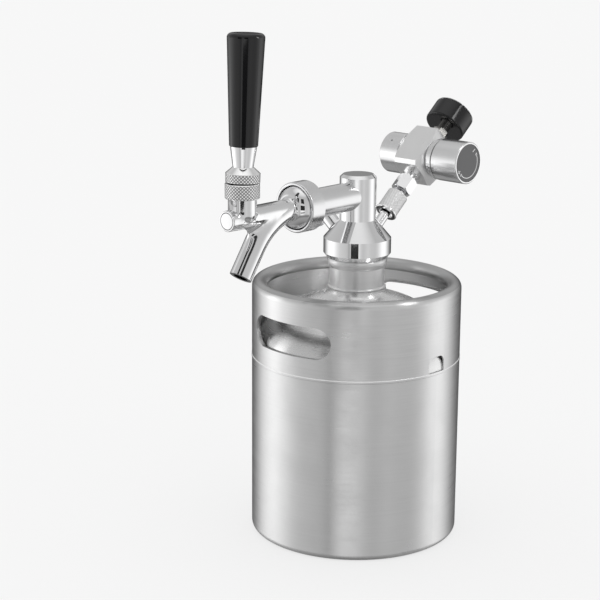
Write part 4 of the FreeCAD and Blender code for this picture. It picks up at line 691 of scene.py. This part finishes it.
def webbed_skin(surface):
    """The faucet in one skin of small faces, with its creases run out into webs."""
    web = bmesh.new()
    crotch_web(web, ball=6.5)
    bmesh.ops.transform(web, matrix=LINE @ Matrix.Scale(MM, 4), verts=web.verts)
    web.from_mesh(surface)
    target, rough = stand("faucet_surface", surface), stand("faucet_block", mesh_of("faucet_block", web))
    skin = rough.modifiers.new("skin", "REMESH")
    skin.mode = "VOXEL"
    skin.voxel_size = 0.5 * MM
    thing = stand("faucet_skin", settled(rough))
    webs = thing.vertex_groups.new(name="webs")
    back = LINE.inverted()
    for vertex in thing.data.vertices:
        share = near_the_webs(back @ vertex.co / MM)
        if share:
            webs.add([vertex.index], share, "REPLACE")
    wrap = thing.modifiers.new("wrap", "SHRINKWRAP")
    wrap.target = target
    wrap.vertex_group = "webs"
    wrap.invert_vertex_group = True
    smooth = thing.modifiers.new("smooth", "SMOOTH")
    smooth.factor, smooth.iterations, smooth.vertex_group = 0.5, 90, "webs"
    swell = thing.modifiers.new("swell", "DISPLACE")
    swell.strength, swell.mid_level, swell.vertex_group = 0.3 * MM, 0.0, "webs"
    skinned = settled(thing)
    for spare in (target, rough, thing):
        bpy.data.objects.remove(spare)
    return skinned


def faucet_casting():
    """The faucet's body as cast: webs at its creases, and the solid's own surface beyond their planes."""
    surface = mesh_of("faucet_surface", merged("faucet_body"))
    whole = bmesh.new()
    whole.from_mesh(webbed_skin(surface))
    for bound in WEB_BOUNDS:
        keep(whole, bound, True)
    for place, bound in enumerate(WEB_BOUNDS):
        beyond = bmesh.new()
        beyond.from_mesh(surface)
        for nearer in WEB_BOUNDS[:place]:
            keep(beyond, nearer, True)
        keep(beyond, bound, False)
        whole.from_mesh(mesh_of("faucet_part", beyond))
    mesh = mesh_of("faucet_casting", whole)
    soften(mesh)
    mesh.materials.clear()
    mesh.materials.append(FAUCET_CHROME.material)
    thing = stand("faucet_casting", mesh)
    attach(thing, "tap_head")
    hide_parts("faucet_body")


def squeezed_spring(name, node, body, axis, held_end):
    """A spring's solid copied into one smooth skin, with its finish, carried by a body in place of the hidden
    solid.
    """
    mesh = mesh_of(name, merged(node))
    soften(mesh)
    mesh.materials.append(NODES[node].data.materials[0])
    way = (axis.to_3x3() @ Vector((0, 0, 1))).normalized()
    places = [way.dot(vertex.co) for vertex in mesh.vertices]
    thing = stand(name, mesh)
    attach(thing, body)
    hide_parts(node)
    tuple(way * held_end(places))
    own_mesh(thing)


knob_marks()
gauge_scale()
seam_bead()
faucet_casting()
squeezed_spring("relief_coil", "relief_spring", "tap_head",
                axis=RELIEF, held_end=max)
squeezed_spring("coupler_coil", "coupler_spring", "regulator",
                axis=GAS, held_end=max)
squeezed_spring("adjusting_coil", "adjusting_spring", "regulator",
                axis=REGULATOR, held_end=min)


# Studio

def studio_floor():
    """A pale floor that takes a soft shadow close to the keg."""
    shape = bmesh.new()
    bmesh.ops.create_circle(shape, cap_ends=True, segments=96, radius=60)
    mesh = mesh_of("studio_floor", shape)
    made = Finish("floor_paper")
    grain = noise(made.tree, made.place, 400.0)
    made.set(Base_Color=blend_colour(made.tree, grain, grey(0.255), grey(0.265)), Roughness=0.9,
             Specular_IOR_Level=0.0, Emission_Color=grey(1.0), Emission_Strength=0.672)
    mesh.materials.append(made.material)
    floor = stand("studio_floor", mesh)
    floor.visible_glossy = False


def card(name, azimuth, distance, width, low, high, glow=0.0, fade=1.0):
    """A card or lamp that only reflections show, standing across an azimuth from -Y towards +X, in metres."""
    shape = bmesh.new()
    made = bmesh.ops.create_grid(shape, x_segments=1, y_segments=1, size=0.5)
    turn = Matrix.Rotation(radians(azimuth), 4, "Z") @ Matrix.Translation((0, -distance, (low + high) / 2))
    turn = turn @ Matrix.Rotation(pi / 2, 4, "X") @ Matrix.Diagonal((width, high - low, 1, 1))
    bmesh.ops.transform(shape, matrix=turn, verts=made["verts"])
    mesh = mesh_of(name, shape)
    cloth = Finish(name + "_cloth")
    height = split(cloth.tree, cloth.place)[2]
    cloth.set(Base_Color=grey(0.03), Roughness=0.9, Specular_IOR_Level=0.0, Emission_Color=grey(1.0),
              Emission_Strength=spread(cloth.tree, height, low, high, glow, glow * fade))
    mesh.materials.append(cloth.material)
    thing = stand(name, mesh)
    for kind in ("camera", "diffuse", "shadow", "transmission", "volume_scatter"):
        setattr(thing, "visible_" + kind, False)


CAMERA_AZIMUTH = 41.0
# Brightness round the object, by degrees from the camera towards its right.
ROUND = ((-180, 0.03), (-158, 0.08), (-140, 0.3), (-124, 0.86), (-111, 1.18), (-100, 1.3), (-90, 1.2),
         (-81, 1.04), (-72, 0.84), (-60, 0.68), (-38, 0.59), (-32, 0.53), (-27, 0.36), (-21, 0.68),
         (-14, 0.96), (-7, 1.0), (0, 0.94), (7, 0.79), (14, 0.63), (21, 0.57), (38, 0.66), (48, 0.6),
         (64, 0.58), (72, 0.65), (81, 0.82), (90, 1.06), (100, 1.18), (111, 1.12), (124, 0.7),
         (140, 0.26), (160, 0.06), (180, 0.03))
# Brightness overhead and underneath, by degrees above the horizon.
OVERHEAD = ((-90, 0.1), (-60, 0.3), (-46, 0.34), (-34, 0.14), (-20, 0.5), (24, 0.56), (50, 0.5), (66, 0.8),
            (90, 1.0))


def brightness(tree, degrees, table):
    """A ramp of greys along a number in degrees, from the table's first to its last."""
    low, high = table[0][0], table[-1][0]
    position = add(tree, "ShaderNodeMapRange")
    for socket, value in zip(position.inputs, (degrees, low, high, 0.0, 1.0)):
        plug(tree, value, socket)
    ramp = add(tree, "ShaderNodeValToRGB")
    stops = ramp.color_ramp.elements
    while len(stops) < len(table):
        stops.new(0.5)
    for stop, (angle, value) in zip(stops, table):
        stop.position = (angle - low) / (high - low)
        stop.color = grey(value / 2)
    plug(tree, position.outputs[0], ramp.inputs[0])
    return calc(tree, "MULTIPLY", ramp.outputs[0], 2.0)


def bearings(tree, vector):
    """A way to look as degrees round from the camera towards its right, and degrees above the horizon."""
    x, y, z = split(tree, vector)
    turn = radians(CAMERA_AZIMUTH)
    ahead = calc(tree, "SUBTRACT", calc(tree, "MULTIPLY", x, sin(turn)), calc(tree, "MULTIPLY", y, cos(turn)))
    right = calc(tree, "ADD", calc(tree, "MULTIPLY", x, cos(turn)), calc(tree, "MULTIPLY", y, sin(turn)))
    around = calc(tree, "MULTIPLY", calc(tree, "ARCTAN2", right, ahead), 180 / pi)
    return around, calc(tree, "MULTIPLY", calc(tree, "ARCSINE", z), 180 / pi)


def background(tree, colour):
    node = add(tree, "ShaderNodeBackground")
    plug(tree, colour, node.inputs["Color"])
    return node.outputs[0]


def one_of(tree, ray, others, chosen):
    """One light for a kind of ray, and another for all the others."""
    node = add(tree, "ShaderNodeMixShader")
    for socket, light in zip(node.inputs, (ray, others, chosen)):
        plug(tree, light, socket)
    return node.outputs[0]


def studio_light():
    """Soft light from all round for matt surfaces, and a ring of soft panels for bright metal to show."""
    world = bpy.data.worlds.new("studio_light")
    bpy.context.scene.world = world
    world.use_nodes = True
    tree = world.node_tree
    tree.nodes.clear()
    around, rise = bearings(tree, add(tree, "ShaderNodeTexCoord").outputs["Generated"])
    ring = brightness(tree, around, ROUND)
    over = brightness(tree, rise, OVERHEAD)
    away = calc(tree, "MAXIMUM", spread(tree, rise, -2.0, 24.0), spread(tree, rise, -24.0, -38.0))
    panels = calc(tree, "ADD", calc(tree, "MULTIPLY", ring, calc(tree, "SUBTRACT", 1.0, away)),
                  calc(tree, "MULTIPLY", over, away))
    ray = add(tree, "ShaderNodeLightPath").outputs
    light = one_of(tree, ray["Is Glossy Ray"], background(tree, grey(1.0)), background(tree, panels))
    light = one_of(tree, ray["Is Camera Ray"], light, background(tree, grey(0.93)))
    plug(tree, light, add(tree, "ShaderNodeOutputWorld").inputs["Surface"])


def studio_camera():
    data = bpy.data.cameras.new("studio_camera")
    camera = bpy.data.objects.new("studio_camera", data)
    bpy.context.scene.collection.objects.link(camera)
    frame_width, focal_length = 600, 1725.353
    distance, height = 1.345922, 0.535974
    data.sensor_width = 36.0
    data.lens = focal_length / frame_width * data.sensor_width
    data.clip_start, data.clip_end = 0.05, 200.0
    yaw, pitch, roll = radians(-1.932), radians(14.399), radians(0.381)
    forward = Vector((sin(yaw) * cos(pitch), cos(yaw) * cos(pitch), -sin(pitch)))
    right = Vector((cos(yaw), -sin(yaw), 0))
    up = right.cross(forward)
    side = right * cos(roll) + up * sin(roll)
    top = up * cos(roll) - right * sin(roll)
    look = Matrix((side, top, -forward)).transposed().to_4x4()
    back = Matrix.Translation((0, -distance, height))
    camera.matrix_world = Matrix.Rotation(radians(CAMERA_AZIMUTH), 4, "Z") @ back @ look
    bpy.context.scene.camera = camera


studio_floor()
card("low_card", CAMERA_AZIMUTH - 8, distance=0.45, width=0.2, low=0.115, high=0.15)
card("high_card", CAMERA_AZIMUTH - 8, distance=0.45, width=0.2, low=0.215, high=0.36)
card("right_flag", CAMERA_AZIMUTH - 7, distance=0.4, width=0.13, low=0.41, high=0.6)
card("left_flag", CAMERA_AZIMUTH - 36, distance=0.424, width=0.12, low=0.41, high=0.6)
card("strip_lamp", CAMERA_AZIMUTH - 93, distance=0.5, width=0.15, low=0.15, high=0.55, glow=1.9, fade=0.3)
card("gauge_lamp", CAMERA_AZIMUTH + 67, distance=0.37, width=0.09, low=0.49, high=0.68, glow=6.0)
studio_light()
studio_camera()
bpy.context.scene.view_settings.view_transform = "Standard"
